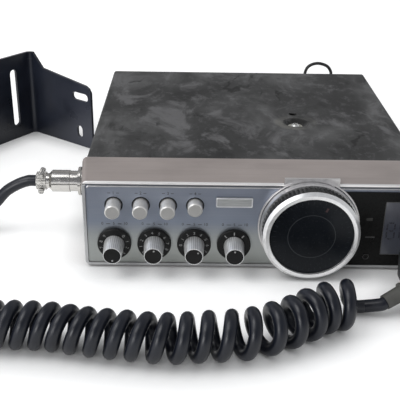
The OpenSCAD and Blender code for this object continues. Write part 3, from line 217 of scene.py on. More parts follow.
def low_bend(p, way, low):
    """A quarter turn from a low run of cord up to an upright strand."""
    found = []
    for i in range(BEND_STEPS):
        a = math.radians(90 * i / BEND_STEPS)
        along = way * BEND_RUN * (1 - math.sin(a))
        found.append(Vector((p.x + along.x, p.y + along.y, low + (p.z - low) * (1 - math.cos(a)))))
    return found


def mic_cord_points():
    """The route of the microphone cord, from its plug through the curls to the strain relief."""
    steps = range(round(CURL_FIRST * CURL_STEPS), round(CURL_LAST * CURL_STEPS) + 1)
    helix = [curl_point(i / CURL_STEPS) for i in steps]
    way_in = axis_way(CURL_FIRST / CURLS).to_3d()
    way_out = axis_way(CURL_LAST / CURLS).to_3d()
    bend_in = low_bend(helix[0], -way_in, CORD_Z)
    bend_out = low_bend(helix[-1], way_out, CORD_Z + TAIL_LIFT)
    curls_from = bend_in[0] - CORD_D * way_in
    curls_to = bend_out[0] + TAIL_STRAIGHT * way_out
    drop = CORD_START.z - CORD_Z
    way = [FRONT_LEFT + Vector((x, y, CORD_Z + share * drop)) for x, y, share in LEAD_ROUTE]
    lead = [CORD_START] + smooth([CORD_START - Vector((CORD_D, 0, 0))] + way + [curls_from - CORD_D * way_in])
    tail = smooth([curls_to, curls_to + TAIL_STRAIGHT * way_out, on_relief(RELIEF_L + CORD_D / 3),
                   on_relief(RELIEF_L)])
    return lead + [curls_from] + bend_in + helix + bend_out[::-1] + tail


WIRE_D = 2.4
WIRE_START = Vector((70, 101, 44))
# X and Y from where the lead leaves the radio, and how high between the coil (0) and there (1)
POWER_ROUTE = (
    (0, 9, 1.012), (3, 15, 1.072), (4, 17.5, 1.169), (0.5, 18.2, 1.283), (-6.7, 18.5, 1.33),
    (-13, 18.6, 1.283), (-16, 18.8, 1.169), (-17, 19.5, 0.904), (-18.2, 21, 0.518), (-19.6, 25, 0.157),
    (-22, 32, 0.022), (-26, 40, 0.002),
)
COIL_AT = (20, 148)
COIL_ENTRY = math.radians(-10)
COIL_TURNS = 3
COIL_LAYERS = 4
COIL_R = 8.5
COIL_GAP = 0.55
COIL_STEP = WIRE_D + COIL_GAP
LAYER_RUN = 0.5
COIL_Z = 2.5
COIL_STEPS = 24
WIRE_STRAIGHT = WIRE_D * 1.2
TAIL_RUN = (8, 18, 30, 38)
TAIL_DROP = Vector((0, 0, 1))
FUSE_Z = 5.7
FUSE_RISE = Vector((0, 0, 0.6))


def coil_point(n):
    """A point of the power lead after so many turns of its coil."""
    a = COIL_ENTRY + 2 * math.pi * n
    r = COIL_R + COIL_STEP * abs(COIL_TURNS - n % (2 * COIL_TURNS))
    climbs = [(n - k * COIL_TURNS + LAYER_RUN / 2) / LAYER_RUN for k in range(1, COIL_LAYERS)]
    layers = sum(max(0, min(1, climb)) for climb in climbs)
    return Vector((COIL_AT[0] + r * math.cos(a), COIL_AT[1] + r * math.sin(a), COIL_Z + COIL_STEP * layers))


def power_points():
    """The route of the power lead, from the radio through its coil to the fuse holder."""
    way = Vector((-math.sin(COIL_ENTRY), math.cos(COIL_ENTRY), 0))
    turns = [coil_point(i / COIL_STEPS) for i in range(COIL_TURNS * COIL_LAYERS * COIL_STEPS + 1)]
    start = turns[0] - way * WIRE_STRAIGHT
    drop = WIRE_START.z - COIL_Z
    route = [Vector((WIRE_START.x + x, WIRE_START.y + y, COIL_Z + share * drop))
             for x, y, share in POWER_ROUTE]
    straight = Vector((0, WIRE_STRAIGHT, 0))
    lead = [WIRE_START] + smooth([WIRE_START + straight] + route + [start - way * WIRE_STRAIGHT])
    out = turns[-1]
    line = Vector((out.x, out.y, FUSE_Z))
    tail = [out + TAIL_RUN[0] * way, out + TAIL_RUN[1] * way - TAIL_DROP,
            line + TAIL_RUN[2] * way + FUSE_RISE, line + TAIL_RUN[3] * way,
            line + (TAIL_RUN[3] + WIRE_STRAIGHT) * way]
    return lead + [start] + turns + tail


def tube(name, points, diameter, closed=False, sides=6):
    """A round tube along points in millimetres, with its thickness on the points, which its box follows."""
    data = bpy.data.curves.new(name, "CURVE")
    data.dimensions = "3D"
    data.bevel_depth = 1
    data.bevel_resolution = sides
    data.use_fill_caps = not closed
    spline = data.splines.new("POLY")
    spline.points.add(len(points) - 1)
    for knot, p in zip(spline.points, points):
        knot.co = (p.x * MM, p.y * MM, p.z * MM, 1)
        knot.radius = diameter / 2 * MM
    spline.use_cyclic_u = closed
    spline.use_smooth = True
    obj = bpy.data.objects.new(name, data)
    scene.collection.objects.link(obj)
    return obj


mic_run = mic_cord_points()
mic_cord = tube("mic_cord", mic_run, CORD_D)
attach(mic_cord, "radio")
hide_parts("mic_cord_lead", "mic_cord_curls", "mic_cord_tail")
wire_run = power_points()
power_cord = tube("power_cord", wire_run, WIRE_D)
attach(power_cord, "radio")
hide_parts("power_lead", "power_lead_coil")


# Node helpers

NOISE_SPAN = (0.3, 0.7)
MOTTLE_SPAN = (0.34, 0.66)
CLOUD_SPAN = (0.32, 0.7)
DUST_SPAN = (0.3, 0.8)
EDGE_COSINES = (0.995, 0.9)
FRONT_COSINES = (0.8, 0.95)
GLOSS_GRAIN = 2.7


def add(tree, kind, inputs=None, **settings):
    """A node with its settings, whose inputs are linked from sockets or set to values."""
    node = tree.nodes.new(kind)
    for name, value in settings.items():
        setattr(node, name, value)
    for key, value in (inputs or {}).items():
        if isinstance(value, bpy.types.NodeSocket):
            tree.links.new(value, node.inputs[key])
        else:
            node.inputs[key].default_value = value
    return node


def look(name, **sockets):
    """A new material and its main shader, with constants on the shader's own sockets."""
    material = bpy.data.materials.new(name)
    material.use_nodes = True
    shader = material.node_tree.nodes["Principled BSDF"]
    for key, value in sockets.items():
        shader.inputs[key.replace("_", " ")].default_value = value
    return material, material.node_tree, shader


def link(tree, shader, **sockets):
    for key, socket in sockets.items():
        tree.links.new(socket, shader.inputs[key.replace("_", " ")])


def place(tree, stretch=(1, 1, 1), turn=(0, 0, 0)):
    """Coordinates of the piece in metres, stretched and turned."""
    source = add(tree, "ShaderNodeTexCoord").outputs["Object"]
    return add(tree, "ShaderNodeMapping", {"Vector": source, "Scale": stretch, "Rotation": turn}).outputs[0]


def split(tree):
    """The three coordinates of the piece in millimetres."""
    parts = add(tree, "ShaderNodeSeparateXYZ", {0: place(tree, grey(1 / MM))})
    return parts.outputs[0], parts.outputs[1], parts.outputs[2]


def noise(tree, at, scale, detail=4, rough=0.55, bend=0):
    settings = {"Vector": at, "Scale": scale, "Detail": detail, "Roughness": rough, "Distortion": bend}
    return add(tree, "ShaderNodeTexNoise", settings).outputs["Fac"]


def ramp(tree, value, *stops):
    """A colour by value, from stops of a place and a colour."""
    node = add(tree, "ShaderNodeValToRGB", {"Fac": value})
    band = node.color_ramp
    while len(band.elements) < len(stops):
        band.elements.new(1)
    for element, (at, colour) in zip(band.elements, stops):
        element.position = at
        element.color = (*colour, 1)
    return node.outputs["Color"]


def grey(level):
    return (level, level, level)


def scaled(tone, share):
    return tuple(min(1, share * v) for v in tone)


def span(tree, value, low, high, out_low=0, out_high=1):
    """A value moved from one span to another, smoothly and without overshoot."""
    settings = {"Value": value, "From Min": low, "From Max": high, "To Min": out_low, "To Max": out_high}
    return add(tree, "ShaderNodeMapRange", settings, interpolation_type="SMOOTHSTEP").outputs["Result"]


def uneven(tree, pattern, low, high, between=NOISE_SPAN):
    """A value between two limits that follows a noise."""
    return span(tree, pattern, *between, low, high)


def two_tone(tree, pattern, dark, pale, between=NOISE_SPAN):
    """A colour between two tones that follows a noise."""
    return ramp(tree, pattern, (between[0], dark), (between[1], pale))


def maths(tree, operation, *values):
    return add(tree, "ShaderNodeMath", dict(enumerate(values)), operation=operation).outputs[0]


def times(tree, a, b):
    return maths(tree, "MULTIPLY", a, b)


def apart(tree, a, b):
    """How far two values are apart."""
    return maths(tree, "ABSOLUTE", maths(tree, "SUBTRACT", a, b))


def wave(tree, value, rate):
    return maths(tree, "SINE", times(tree, value, rate))


def dot(tree, a, b):
    return add(tree, "ShaderNodeVectorMath", {0: a, 1: b}, operation="DOT_PRODUCT").outputs["Value"]


def blend(tree, share, under, over):
    """One colour over another by a share."""
    node = add(tree, "ShaderNodeMix", data_type="RGBA")
    for i, value in ((0, share), (6, under), (7, over)):
        if isinstance(value, bpy.types.NodeSocket):
            tree.links.new(value, node.inputs[i])
        else:
            node.inputs[i].default_value = (*value, 1) if i else value
    return node.outputs[2]


def tint(tree, colour, tone, value, low, high, share=1):
    """A tone over a colour, from nothing at one level of a value to a share at another."""
    return blend(tree, span(tree, value, low, high, 0, share), colour, tone)


def bump(tree, height, distance, strength=1, under=None):
    inputs = {"Height": height, "Distance": distance * MM, "Strength": strength}
    if under:
        inputs["Normal"] = under
    return add(tree, "ShaderNodeBump", inputs).outputs["Normal"]


def edges(tree, width):
    """One along the edges of a piece and nothing on its faces."""
    soft = add(tree, "ShaderNodeBevel", {"Radius": width * MM}, samples=4).outputs[0]
    hard = add(tree, "ShaderNodeNewGeometry").outputs["Normal"]
    return span(tree, dot(tree, soft, hard), *EDGE_COSINES)


def front_face(tree):
    """One on what faces the front of the radio and nothing on its sides."""
    normal = add(tree, "ShaderNodeNewGeometry").outputs["Normal"]
    return span(tree, dot(tree, normal, (0, -1, 0)), *FRONT_COSINES)


def offsets(tree, across, rise, axis):
    return maths(tree, "SUBTRACT", across, axis[0]), maths(tree, "SUBTRACT", rise, axis[1])


def reach(tree, across, rise, axis):
    """Distance from an axis, for two coordinates."""
    a, b = offsets(tree, across, rise, axis)
    return maths(tree, "SQRT", maths(tree, "ADD", times(tree, a, a), times(tree, b, b)))


def bearing(tree, across, rise, axis):
    """Angle about an axis, for two coordinates."""
    a, b = offsets(tree, across, rise, axis)
    return maths(tree, "ARCTAN2", b, a)


def surface(name, dark, pale, grain, rough, relief=0.02, relief_grain=600, stretch=(1, 1, 1), **sockets):
    """A plain material with mottled colour, uneven gloss and a fine relief."""
    material, tree, shader = look(name, **sockets)
    at = place(tree, stretch)
    mottle = noise(tree, at, grain, detail=6, rough=0.6)
    colour = two_tone(tree, mottle, dark, pale, MOTTLE_SPAN)
    fine = noise(tree, at, relief_grain, detail=3)
    gloss = uneven(tree, noise(tree, at, grain * GLOSS_GRAIN), *rough)
    link(tree, shader, Base_Color=colour, Roughness=gloss, Normal=bump(tree, fine, relief))
    return material


# Materials of the cabinet

WEAR_STRETCH = (1, 0.6, 1)
CRACK_LEVEL = 0.52
RIM_DEPTH = (0.6, 0.95)
DIAL_LINE_R = 12.9
TICK_R = 20.4
TICKS = 40
SLEEVE_LINES = 30
CLAMP_LINES = 40


def cover_paint():
    """Black paint with worn patches, cracks and scuffs, a pale halo about its dimple, painted shade on the
    dimple's far slope and a painted highlight on its floor.
    """
    material, tree, shader = look("cover_paint", Specular_IOR_Level=0.08)
    x, y, _ = split(tree)
    at = place(tree)
    patches = noise(tree, place(tree, WEAR_STRETCH), 19, detail=6, bend=0.5)
    colour = ramp(tree, patches, (0.34, grey(0.028)), (0.5, grey(0.055)), (0.62, grey(0.102)))
    wipe = noise(tree, place(tree, WEAR_STRETCH, turn=(0, 0, 0.35)), 42, detail=9, rough=0.66, bend=0.7)
    colour = tint(tree, colour, (0.138, 0.136, 0.139), wipe, 0.5, 0.64, share=0.75)
    colour = tint(tree, colour, grey(0.022), wipe, 0.46, 0.3, share=0.75)
    crack = apart(tree, noise(tree, place(tree, (1, 0.55, 1)), 17, rough=0.5, bend=0.5), CRACK_LEVEL)
    broken = span(tree, noise(tree, at, 26, detail=3), 0.5, 0.6)
    crack = times(tree, span(tree, crack, 0.016, 0.005), broken)
    colour = blend(tree, times(tree, crack, 0.7), colour, grey(0.012))
    far = reach(tree, x, y, DIMPLE)
    halo = span(tree, apart(tree, far, DIMPLE_HALO_R), 4.5, 1, 0, 0.62)
    colour = blend(tree, times(tree, halo, span(tree, wipe, 0.36, 0.62)), colour, (0.16, 0.155, 0.14))
    # The dimple's far slope is darkened as painted shade
    slope = span(tree, apart(tree, far, DIMPLE_SLOPE_R), 2.2, 1)
    behind = span(tree, y, DIMPLE[1] - 1, DIMPLE[1] + 3, 0, 0.62)
    colour = blend(tree, times(tree, slope, behind), colour, grey(0.004))
    # The dimple's floor is painted pale as a painted highlight about its screw
    floor = span(tree, far, DIMPLE_FLOOR_R + 0.3, DIMPLE_FLOOR_R - 0.3, 0, 0.85)
    colour = blend(tree, floor, colour, (0.36, 0.35, 0.31))
    chalk = noise(tree, place(tree, (1, 0.7, 1)), 130, detail=8, rough=0.75)
    colour = tint(tree, colour, (0.14, 0.14, 0.142), chalk, 0.5, 0.68, share=0.45)
    speckle = noise(tree, at, 380, rough=0.7)
    colour = tint(tree, colour, grey(0.14), speckle, 0.64, 0.76, share=0.45)
    streak = noise(tree, place(tree, (130, 12, 40), turn=(0, 0, 0.7)), 1, rough=0.6)
    colour = tint(tree, colour, grey(0.12), streak, 0.64, 0.74, share=0.3)
    gloss = uneven(tree, patches, 0.5, 0.72)
    relief = bump(tree, noise(tree, at, 900, detail=2), 0.03, strength=0.5)
    link(tree, shader, Base_Color=colour, Roughness=gloss,
         Normal=bump(tree, wipe, 0.12, strength=0.4, under=relief))
    return material


def bezel_finish():
    """Brushed and hazy metal, with a metal front rim painted paler along its top as a painted highlight, and
    a dark painted shadow line along it.
    """
    material, tree, shader = look("bezel_finish", Specular_IOR_Level=0.4)
    _, y, z = split(tree)
    brush = noise(tree, place(tree, (12, 700, 700)), 1, detail=5, rough=0.6)
    haze = noise(tree, place(tree, (1, 2, 2)), 18, detail=7, rough=0.6)
    colour = ramp(tree, haze, (0.32, (0.27, 0.236, 0.222)), (0.5, (0.32, 0.281, 0.265)),
                  (0.7, (0.36, 0.316, 0.298)))
    colour = tint(tree, colour, (0.258, 0.227, 0.214), brush, 0.35, 0.75, share=0.35)
    scratch = noise(tree, place(tree, (40, 130, 130), turn=(0, 0, 0.4)), 1, rough=0.6, bend=1)
    colour = tint(tree, colour, (0.45, 0.43, 0.42), scratch, 0.69, 0.76, share=0.5)
    rim = span(tree, y, Y_RIM + RIM_DEPTH[1], Y_RIM + RIM_DEPTH[0])
    # The rim is paler along its top as a painted highlight
    tone = blend(tree, span(tree, z, *RIM_HIGHLIGHT_Z), (0.46, 0.465, 0.47), (0.9, 0.89, 0.88))
    # A dark line along the rim's top is a painted shadow of its groove
    tone = tint(tree, tone, grey(0.05), apart(tree, z, RIM_SHADOW_LINE), 0.32, 0.16)
    colour = blend(tree, rim, colour, tone)
    metal = span(tree, rim, 0, 1, 0.2, 0.85)
    gloss = maths(tree, "SUBTRACT", uneven(tree, haze, 0.42, 0.54), times(tree, rim, 0.04))
    grain = times(tree, brush, maths(tree, "SUBTRACT", 1, rim))
    link(tree, shader, Base_Color=colour, Metallic=metal, Roughness=gloss,
         Normal=bump(tree, grain, 0.004, strength=0.4))
    return material


def panel_metal():
    """Finely brushed metal with a painted light gradient, paler at its foot and bluer above."""
    material, tree, shader = look("panel_metal", Metallic=0.85)
    _, _, z = split(tree)
    brush = noise(tree, place(tree, (9, 1, 1500)), 1, detail=5, rough=0.6)
    cloud = noise(tree, place(tree, (14, 1, 30)), 1)
    # The gradient by height is painted light: paler at the foot, bluer above
    colour = ramp(tree, span(tree, z, *PANEL_Z), (0, (0.34, 0.355, 0.338)), (0.3, (0.295, 0.31, 0.312)),
                  (0.55, (0.22, 0.25, 0.31)), (1, (0.242, 0.266, 0.325)))
    colour = tint(tree, colour, (0.315, 0.345, 0.385), cloud, 0.4, 0.7, share=0.25)
    colour = tint(tree, colour, (0.42, 0.43, 0.45), brush, 0.35, 0.7, share=0.08)
    gloss = uneven(tree, cloud, 0.36, 0.46)
    link(tree, shader, Base_Color=colour, Roughness=gloss, Normal=bump(tree, brush, 0.002, strength=0.25))
    return material


def display_black():
    """Glossy black plastic with dust."""
    material, tree, shader = look("display_black", Specular_IOR_Level=0.07)
    at = place(tree)
    dust = noise(tree, at, 700, detail=5, rough=0.75)
    colour = two_tone(tree, noise(tree, at, 40), (0.0085, 0.0086, 0.0085), (0.0135, 0.0136, 0.0134))
    colour = tint(tree, colour, grey(0.03), dust, 0.66, 0.8, share=0.3)
    link(tree, shader, Base_Color=colour, Roughness=uneven(tree, dust, 0.22, 0.42, DUST_SPAN),
         Normal=bump(tree, noise(tree, at, 60, detail=2), 0.02, strength=0.4))
    return material


def window_glass():
    """Smoked glass with painted reflections that make it paler at its top and foot, with clouds and dust."""
    material, tree, shader = look("window_glass", Coat_Weight=0.3, Coat_Roughness=0.06)
    _, _, z = split(tree)
    # Paler top and foot by height are painted reflections
    colour = ramp(tree, span(tree, z, WINDOW[2], WINDOW[3]), (0, (0.072, 0.077, 0.094)),
                  (0.5, (0.055, 0.059, 0.076)), (1, (0.11, 0.113, 0.13)))
    cloud = noise(tree, place(tree, (60, 1, 25)), 1, detail=3)
    colour = tint(tree, colour, (0.026, 0.027, 0.034), cloud, 0.45, 0.75, share=0.6)
    dust = noise(tree, place(tree), 900, detail=5, rough=0.75)
    colour = tint(tree, colour, grey(0.2), dust, 0.68, 0.8, share=0.3)
    link(tree, shader, Base_Color=colour, Roughness=uneven(tree, dust, 0.12, 0.3, DUST_SPAN),
         Normal=bump(tree, cloud, 0.02, strength=0.3))
    return material


def lens():
    """Dark lenses, of which the upper one is paler."""
    material, tree, shader = look("lens", Specular_IOR_Level=0.1)
    _, _, z = split(tree)
    colour = blend(tree, span(tree, z, *LENS_Z), grey(0.006), (0.06, 0.06, 0.057))
    spots = noise(tree, place(tree), 1200, detail=3)
    colour = tint(tree, colour, grey(0.012), spots, 0.4, 0.7, share=0.4)
    link(tree, shader, Base_Color=colour, Roughness=uneven(tree, spots, 0.2, 0.4),
         Normal=bump(tree, spots, 0.02, strength=0.4))
    return material


def turned_metal(name, tone, axis, rough, grooves, metal, knurl=0, end=1):
    """Turned or lined aluminium about an axis along Y, with painted shade in its knurl grooves and, if asked,
    a darker painted shade on its front end.
    """
    material, tree, shader = look(name, Metallic=metal)
    x, y, z = split(tree)
    rings = wave(tree, maths(tree, "ADD", reach(tree, x, z, axis), y), grooves)
    grain = noise(tree, place(tree), 500, detail=5, rough=0.7)
    colour = two_tone(tree, grain, scaled(tone, 0.9), scaled(tone, 1.06))
    normal = bump(tree, maths(tree, "ADD", rings, grain), 0.002, strength=0.4)
    if knurl:
        lines = wave(tree, bearing(tree, x, z, axis), knurl)
        # Painted shade in the knurl's grooves
        colour = tint(tree, colour, scaled(tone, 0.4), lines, -0.2, -1, share=0.6)
        normal = bump(tree, lines, 0.03, strength=0.5, under=normal)
    if end < 1:
        # The darker front end is painted shade
        colour = blend(tree, front_face(tree), colour, scaled(tone, end))
    gloss = uneven(tree, grain, rough - 0.06, rough + 0.06)
    link(tree, shader, Base_Color=colour, Roughness=gloss, Normal=normal)
    return material


def dial_face():
    """Glossy black with one thin line and a ring of fine ticks."""
    material, tree, shader = look("dial_face", Specular_IOR_Level=0.14)
    x, _, z = split(tree)
    at = place(tree)
    far = reach(tree, x, z, DIAL)
    dust = noise(tree, at, 600, detail=5, rough=0.75)
    colour = two_tone(tree, noise(tree, at, 45), (0.004, 0.005, 0.007), (0.009, 0.011, 0.014))
    colour = tint(tree, colour, (0.07, 0.075, 0.08), apart(tree, far, DIAL_LINE_R), 0.28, 0.12, share=0.5)
    tick = maths(tree, "COSINE", times(tree, bearing(tree, x, z, DIAL), TICKS))
    band = span(tree, apart(tree, far, TICK_R), 0.9, 0.7)
    tick = times(tree, span(tree, tick, 0.93, 0.97), band)
    colour = blend(tree, times(tree, tick, 0.5), colour, (0.03, 0.033, 0.038))
    colour = tint(tree, colour, grey(0.06), dust, 0.68, 0.82, share=0.35)
    link(tree, shader, Base_Color=colour, Roughness=uneven(tree, dust, 0.16, 0.34, DUST_SPAN),
         Normal=bump(tree, noise(tree, at, 50, detail=2), 0.02, strength=0.3))
    return material


# Materials of the cords, plug, bracket and sockets

NICKEL = (0.64, 0.625, 0.595)


def cord_rubber(name, dark, pale):
    """Smooth rubber with scuffs."""
    material, tree, shader = look(name, Specular_IOR_Level=0.4)
    at = place(tree)
    cloud = noise(tree, at, 60, detail=6, rough=0.6)
    colour = two_tone(tree, cloud, dark, pale, CLOUD_SPAN)
    scuff = noise(tree, place(tree, (1, 1, 1.6)), 260, detail=6, rough=0.75, bend=0.5)
    colour = tint(tree, colour, (0.15, 0.15, 0.147), scuff, 0.7, 0.8, share=0.4)
    gloss = uneven(tree, cloud, 0.29, 0.41)
    relief = bump(tree, noise(tree, at, 1400, detail=3), 0.01, strength=0.4)
    link(tree, shader, Base_Color=colour, Roughness=gloss,
         Normal=bump(tree, scuff, 0.03, strength=0.3, under=relief))
    return material


def bracket_paint():
    """Satin paint that is rubbed off along its edges, with a paler painted sheen on the ear that is nearer
    the radio.
    """
    material, tree, shader = look("bracket_paint", Specular_IOR_Level=0.4)
    at = place(tree)
    x, _, _ = split(tree)
    wear = (0.1, 0.1, 0.11)
    cloud = noise(tree, at, 35, detail=7, rough=0.62)
    colour = two_tone(tree, cloud, (0.005, 0.0065, 0.012), (0.014, 0.0175, 0.029), CLOUD_SPAN)
    scratch = noise(tree, place(tree, (30, 30, 420)), 1, rough=0.6)
    colour = tint(tree, colour, wear, scratch, 0.66, 0.74, share=0.3)
    # The paler cloud on the ear, named haze here, is a painted sheen
    haze = span(tree, noise(tree, at, 22, rough=0.6), 0.3, 0.65, 0.35)
    colour = blend(tree, times(tree, span(tree, x, *EAR_X), haze), colour, (0.04, 0.044, 0.06))
    rub = times(tree, edges(tree, 0.5), span(tree, noise(tree, at, 140, detail=5, rough=0.7), 0.4, 0.65))
    colour = blend(tree, rub, colour, wear)
    gloss = uneven(tree, cloud, 0.26, 0.4)
    link(tree, shader, Base_Color=colour, Roughness=gloss,
         Normal=bump(tree, noise(tree, at, 800, detail=3), 0.03, strength=0.4))
    return material


def antenna_nickel():
    """Bright metal with a screw thread about an axis along Y."""
    material, tree, shader = look("antenna_nickel", Metallic=1.0)
    _, y, _ = split(tree)
    grain = noise(tree, place(tree), 300, detail=5, rough=0.7)
    colour = two_tone(tree, grain, scaled(NICKEL, 0.8), NICKEL)
    thread = times(tree, wave(tree, y, 2 * math.pi / ANTENNA_PITCH), span(tree, y, *ANTENNA_THREAD_Y))
    link(tree, shader, Base_Color=colour, Roughness=uneven(tree, grain, 0.18, 0.32),
         Normal=bump(tree, thread, 0.25, strength=0.9))
    return material


def plug_metal(name, rough, knurl=0):
    """Nickel plate on a piece turned about the plug's axis along X."""
    material, tree, shader = look(name, Metallic=1.0)
    x, y, z = split(tree)
    grain = noise(tree, place(tree, (1, 3, 3)), 260, detail=5, rough=0.7)
    colour = two_tone(tree, grain, scaled(NICKEL, 0.86), NICKEL)
    normal = bump(tree, maths(tree, "ADD", grain, wave(tree, x, 14)), 0.008, strength=0.5)
    if knurl:
        lines = wave(tree, bearing(tree, y, z, SOCKET), knurl)
        # Painted shade in the knurl's grooves
        colour = tint(tree, colour, scaled(NICKEL, 0.3), lines, -0.3, -1, share=0.6)
        normal = bump(tree, lines, 0.2, strength=0.8, under=normal)
    gloss = uneven(tree, grain, rough - 0.05, rough + 0.07)
    link(tree, shader, Base_Color=colour, Roughness=gloss, Normal=normal)
    return material


# The finish of each piece

ALUMINIUM = grey(0.9)
knob_black = surface("knob_black", grey(0.006), grey(0.011), grain=60, rough=(0.42, 0.54), relief=0.01,
                     relief_grain=900, Specular_IOR_Level=0.18)
grip_black = surface("grip_black", grey(0.006), (0.014, 0.0145, 0.015), grain=90, rough=(0.36, 0.5),
                     relief=0.03, relief_grain=900, Specular_IOR_Level=0.25)
moulded = surface("mic_plastic", (0.009, 0.0095, 0.011), (0.018, 0.019, 0.021), grain=45, rough=(0.4, 0.55),
                  relief=0.05, relief_grain=1300)
relief_grey = surface("relief_grey", (0.056, 0.055, 0.05), (0.082, 0.081, 0.074), grain=90,
                      rough=(0.5, 0.65), relief=0.02, relief_grain=1200)
rubber_black = surface("rubber_black", grey(0.008), grey(0.018), grain=80, rough=(0.5, 0.65), relief=0.04,
                       relief_grain=1200)
part_plastic = surface("part_plastic", (0.08, 0.075, 0.055), (0.14, 0.125, 0.09), grain=70,
                       rough=(0.4, 0.6))
board_green = surface("board_green", (0.02, 0.075, 0.035), (0.035, 0.11, 0.05), grain=120,
                      rough=(0.3, 0.45), relief=0.03, relief_grain=900)
cone_paper = surface("cone_paper", (0.016, 0.014, 0.012), (0.032, 0.028, 0.024), grain=200,
                     rough=(0.8, 0.95), relief=0.12, relief_grain=1500)
steel = surface("chassis_steel", (0.38, 0.38, 0.365), (0.52, 0.52, 0.5), grain=50, rough=(0.3, 0.45),
                relief=0.01, relief_grain=500, Metallic=1.0)
zinc = surface("fastener", (0.6, 0.6, 0.58), (0.8, 0.8, 0.78), grain=150, rough=(0.2, 0.34), relief=0.01,
               relief_grain=700, Metallic=1.0)
brass = surface("nut_brass", (0.5, 0.4, 0.2), (0.65, 0.54, 0.3), grain=120, rough=(0.25, 0.4), relief=0.01,
                relief_grain=700, Metallic=1.0)
sink_metal = surface("sink_alu", (0.5, 0.5, 0.51), (0.64, 0.64, 0.65), grain=90, rough=(0.35, 0.5),
                     relief=0.02, relief_grain=500, Metallic=1.0)
badge_metal = surface("badge_metal", (0.42, 0.43, 0.43), (0.54, 0.55, 0.55), grain=140, rough=(0.3, 0.42),
                      relief=0.01, relief_grain=600, stretch=(1, 1, 12), Metallic=0.9)
bead_metal = surface("bead_metal", (0.46, 0.46, 0.47), (0.56, 0.56, 0.57), grain=160, rough=(0.3, 0.4),
                     relief=0.001, relief_grain=700, Metallic=0.9)
bright_trim = surface("bright_trim", (0.74, 0.74, 0.75), (0.84, 0.84, 0.85), grain=160, rough=(0.28, 0.36),
                      relief=0.001, relief_grain=700, Metallic=0.9)
cover = cover_paint()
silver_dial = turned_metal("dial_silver", (0.78, 0.775, 0.78), DIAL, rough=0.36, grooves=9, metal=0.95)
silver_ring = turned_metal("ring_silver", grey(0.86), DIAL, rough=0.34, grooves=12, metal=0.8)
collar_silver = turned_metal("collar_silver", (0.6, 0.585, 0.585), DIAL, rough=0.34, grooves=5, metal=0.9)
nickel_plain = plug_metal("nickel_plain", rough=0.16)
nickel_knurl = plug_metal("nickel_knurl", rough=0.22, knurl=CLAMP_LINES)
mic_rubber = cord_rubber("cord_rubber", (0.003, 0.0042, 0.0085), (0.007, 0.0092, 0.0165))
wire_rubber = cord_rubber("wire_rubber", grey(0.01), grey(0.02))
FINISH = {
    "top_cover": cover, "bottom_cover": cover, "front_bezel": bezel_finish(), "front_panel": panel_metal(),
    "display_panel": display_black(), "display_window": window_glass(), "indicator_lenses": lens(),
    "badge_plate": badge_metal, "dial_collar": collar_silver, "rear_panel": steel, "chassis_frame": steel,
    "cover_screws": zinc, "bracket_nuts": brass, "switch_bank": part_plastic, "potentiometers": part_plastic,
    "dial_body": silver_dial, "dial_grip": grip_black, "dial_ring": silver_ring, "dial_face": dial_face(),
    "channel_switch": part_plastic, "display_board": board_green, "circuit_board": board_green,
    "board_parts": part_plastic, "heat_sink": sink_metal, "speaker_basket": steel, "speaker_cone": cone_paper,
    "antenna_socket": antenna_nickel(), "speaker_jacks": knob_black, "power_grommet": rubber_black,
    "coil_tie": rubber_black, "fuse_holder": moulded, "mic_socket": nickel_plain,
    "plug_coupling_ring": nickel_plain, "plug_barrel": nickel_plain, "plug_clamp": nickel_knurl,
    "mic_strain_relief": relief_grey, "mic_rear_shell": moulded, "mic_front_shell": moulded,
    "talk_bar": grip_black, "mic_capsule": zinc, "mic_hang_button": zinc, "mounting_bracket": bracket_paint(),
}
for button, x in zip(BUTTON_NAMES, BUTTON_X):
    # The buttons' front ends carry a darker painted shade
    FINISH[button + "_button"] = turned_metal(button + "_silver", (0.72, 0.71, 0.69), (x, BUTTON_Z),
                                              rough=0.4, grooves=14, metal=0.5, end=0.6)
for knob, x in zip(KNOB_NAMES, KNOB_X):
    FINISH[knob + "_knob"] = knob_black
    FINISH[knob + "_sleeve"] = turned_metal(knob + "_silver", ALUMINIUM, (x, KNOB_Z), rough=0.34,
                                            grooves=4, metal=0.65, knurl=SLEEVE_LINES)


def paint(obj, material):
    obj.data.materials.clear()
    obj.data.materials.append(material)


for name, material in FINISH.items():
    paint(nodes[name], material)
paint(mic_cord, mic_rubber)
paint(power_cord, wire_rubber)


# Flat shapes for printed marks

PRINT_GAP = 0.04
DISC_SIDES = 24
print_dark = surface("print_dark", grey(0.012), grey(0.03), grain=900, rough=(0.4, 0.6))
print_pale = surface("print_pale", grey(0.2), grey(0.38), grain=900, rough=(0.4, 0.6))
print_white = surface("print_white", grey(0.3), grey(0.42), grain=900, rough=(0.35, 0.5))
print_dim = surface("print_dim", grey(0.04), grey(0.065), grain=900, rough=(0.4, 0.6))
print_red = surface("print_red", (0.024, 0.008, 0.009), (0.038, 0.01, 0.011), grain=900, rough=(0.45, 0.6))
digit_dark = surface("digit_dark", (0.028, 0.03, 0.038), (0.038, 0.04, 0.049), grain=900, rough=(0.2, 0.3))


def mesh_object(name, bm, material):
    """An object in the scene made from a mesh under construction."""
    mesh = bpy.data.meshes.new(name)
    bm.to_mesh(mesh)
    bm.free()
    mesh.materials.append(material)
    obj = bpy.data.objects.new(name, mesh)
    scene.collection.objects.link(obj)
    return obj


def piece(name, bm, material, body="radio"):
    """A new piece that rides on a body."""
    obj = mesh_object(name, bm, material)
    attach(obj, body)


def facing(x, y, z, roll=0):
    """Puts a flat drawing, made in X and Y in millimetres, on a plane that faces the viewer."""
    turn = Matrix.Rotation(math.radians(90), 4, "X") @ Matrix.Rotation(math.radians(roll), 4, "Z")
    return Matrix.Scale(MM, 4) @ Matrix.Translation((x, y, z)) @ turn


